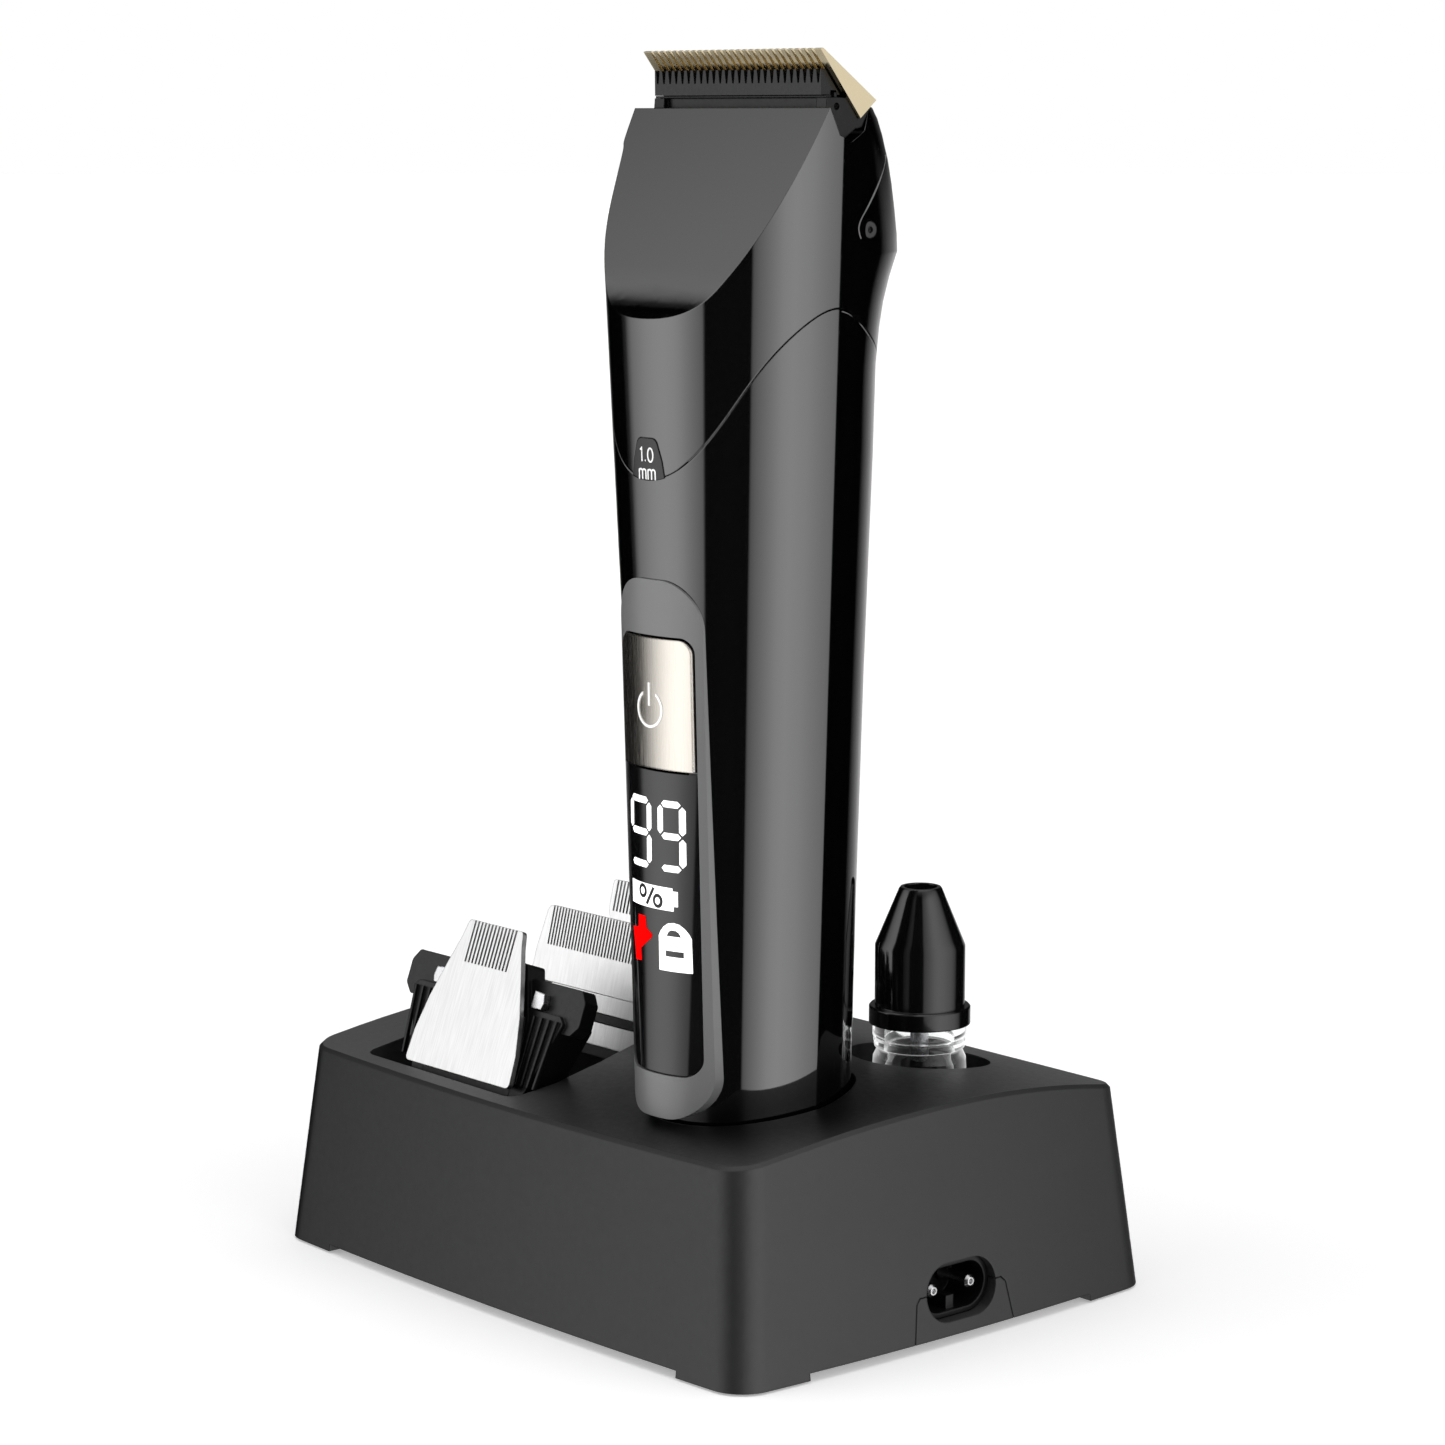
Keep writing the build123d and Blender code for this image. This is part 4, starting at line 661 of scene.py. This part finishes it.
negy = math_node("MULTIPLY", sx.outputs["Y"], -1.0)
az = math_node("ARCTAN2", sx.outputs["X"], negy)
az01 = math_node("ADD", math_node("MULTIPLY", az, 1 / (2 * math.pi)), 0.5)
ramp = N.new("ShaderNodeValToRGB")
cr = ramp.color_ramp
cr.interpolation = "LINEAR"
LMAX = 2.5
while len(cr.elements) < len(LIGHT):
    cr.elements.new(0.5)
for e, (deg, val) in zip(cr.elements, LIGHT):
    e.position = (deg + 180.0) / 360.0
for i, (deg, val) in enumerate(LIGHT):
    v = val / LMAX
    cr.elements[i].color = (v, v, v, 1)
L.new(az01, ramp.inputs["Fac"])
el = N.new("ShaderNodeMapRange")
el.interpolation_type = "SMOOTHSTEP"
el.inputs["From Min"].default_value, el.inputs["From Max"].default_value = math.sin(math.radians(28)), math.sin(math.radians(64))
el.inputs["To Min"].default_value, el.inputs["To Max"].default_value = 1.0, 0.0
L.new(sx.outputs["Z"], el.inputs["Value"])
panel = math_node("MULTIPLY", math_node("MULTIPLY", ramp.outputs["Color"], LMAX), el.outputs["Result"])
top = N.new("ShaderNodeMapRange")
top.interpolation_type = "SMOOTHSTEP"
top.inputs["From Min"].default_value, top.inputs["From Max"].default_value = math.sin(math.radians(40)), math.sin(math.radians(75))
top.inputs["To Min"].default_value, top.inputs["To Max"].default_value = 0.0, 1.6
L.new(sx.outputs["Z"], top.inputs["Value"])
rim = N.new("ShaderNodeValToRGB")
RIM = [(-180, 0.0), (-172, 0.0), (-160, 0.36), (-148, 0.62), (-136, 0.42), (-122, 0.1), (-112, 0.0)]
while len(rim.color_ramp.elements) < len(RIM):
    rim.color_ramp.elements.new(0.5)
for e, (deg, val) in zip(rim.color_ramp.elements, RIM):
    e.position = (deg + 180.0) / 360.0
for i, (deg, val) in enumerate(RIM):
    rim.color_ramp.elements[i].color = (val, val, val, 1)
L.new(az01, rim.inputs["Fac"])
low = N.new("ShaderNodeMapRange")
low.interpolation_type = "SMOOTHSTEP"
low.inputs["From Min"].default_value, low.inputs["From Max"].default_value = -0.06, 0.03
low.inputs["To Min"].default_value, low.inputs["To Max"].default_value = 1.0, 0.0
L.new(sx.outputs["Z"], low.inputs["Value"])
rimlight = math_node("MULTIPLY", rim.outputs["Color"], low.outputs["Result"])
total = math_node("ADD", math_node("ADD", panel, rimlight), top.outputs["Result"])
bg1 = N.new("ShaderNodeBackground")
L.new(total, bg1.inputs["Color"])
bg2 = N.new("ShaderNodeBackground")
bg2.inputs["Color"].default_value = (1.0, 1.0, 1.0, 1)
lp = N.new("ShaderNodeLightPath")
mix = N.new("ShaderNodeMixShader")
L.new(lp.outputs["Is Camera Ray"], mix.inputs["Fac"])
L.new(bg1.outputs["Background"], mix.inputs[1])
L.new(bg2.outputs["Background"], mix.inputs[2])
L.new(mix.outputs["Shader"], wo.inputs["Surface"])

bpy.context.scene.view_settings.view_transform = "Standard"
bpy.context.scene.view_settings.look = "None"
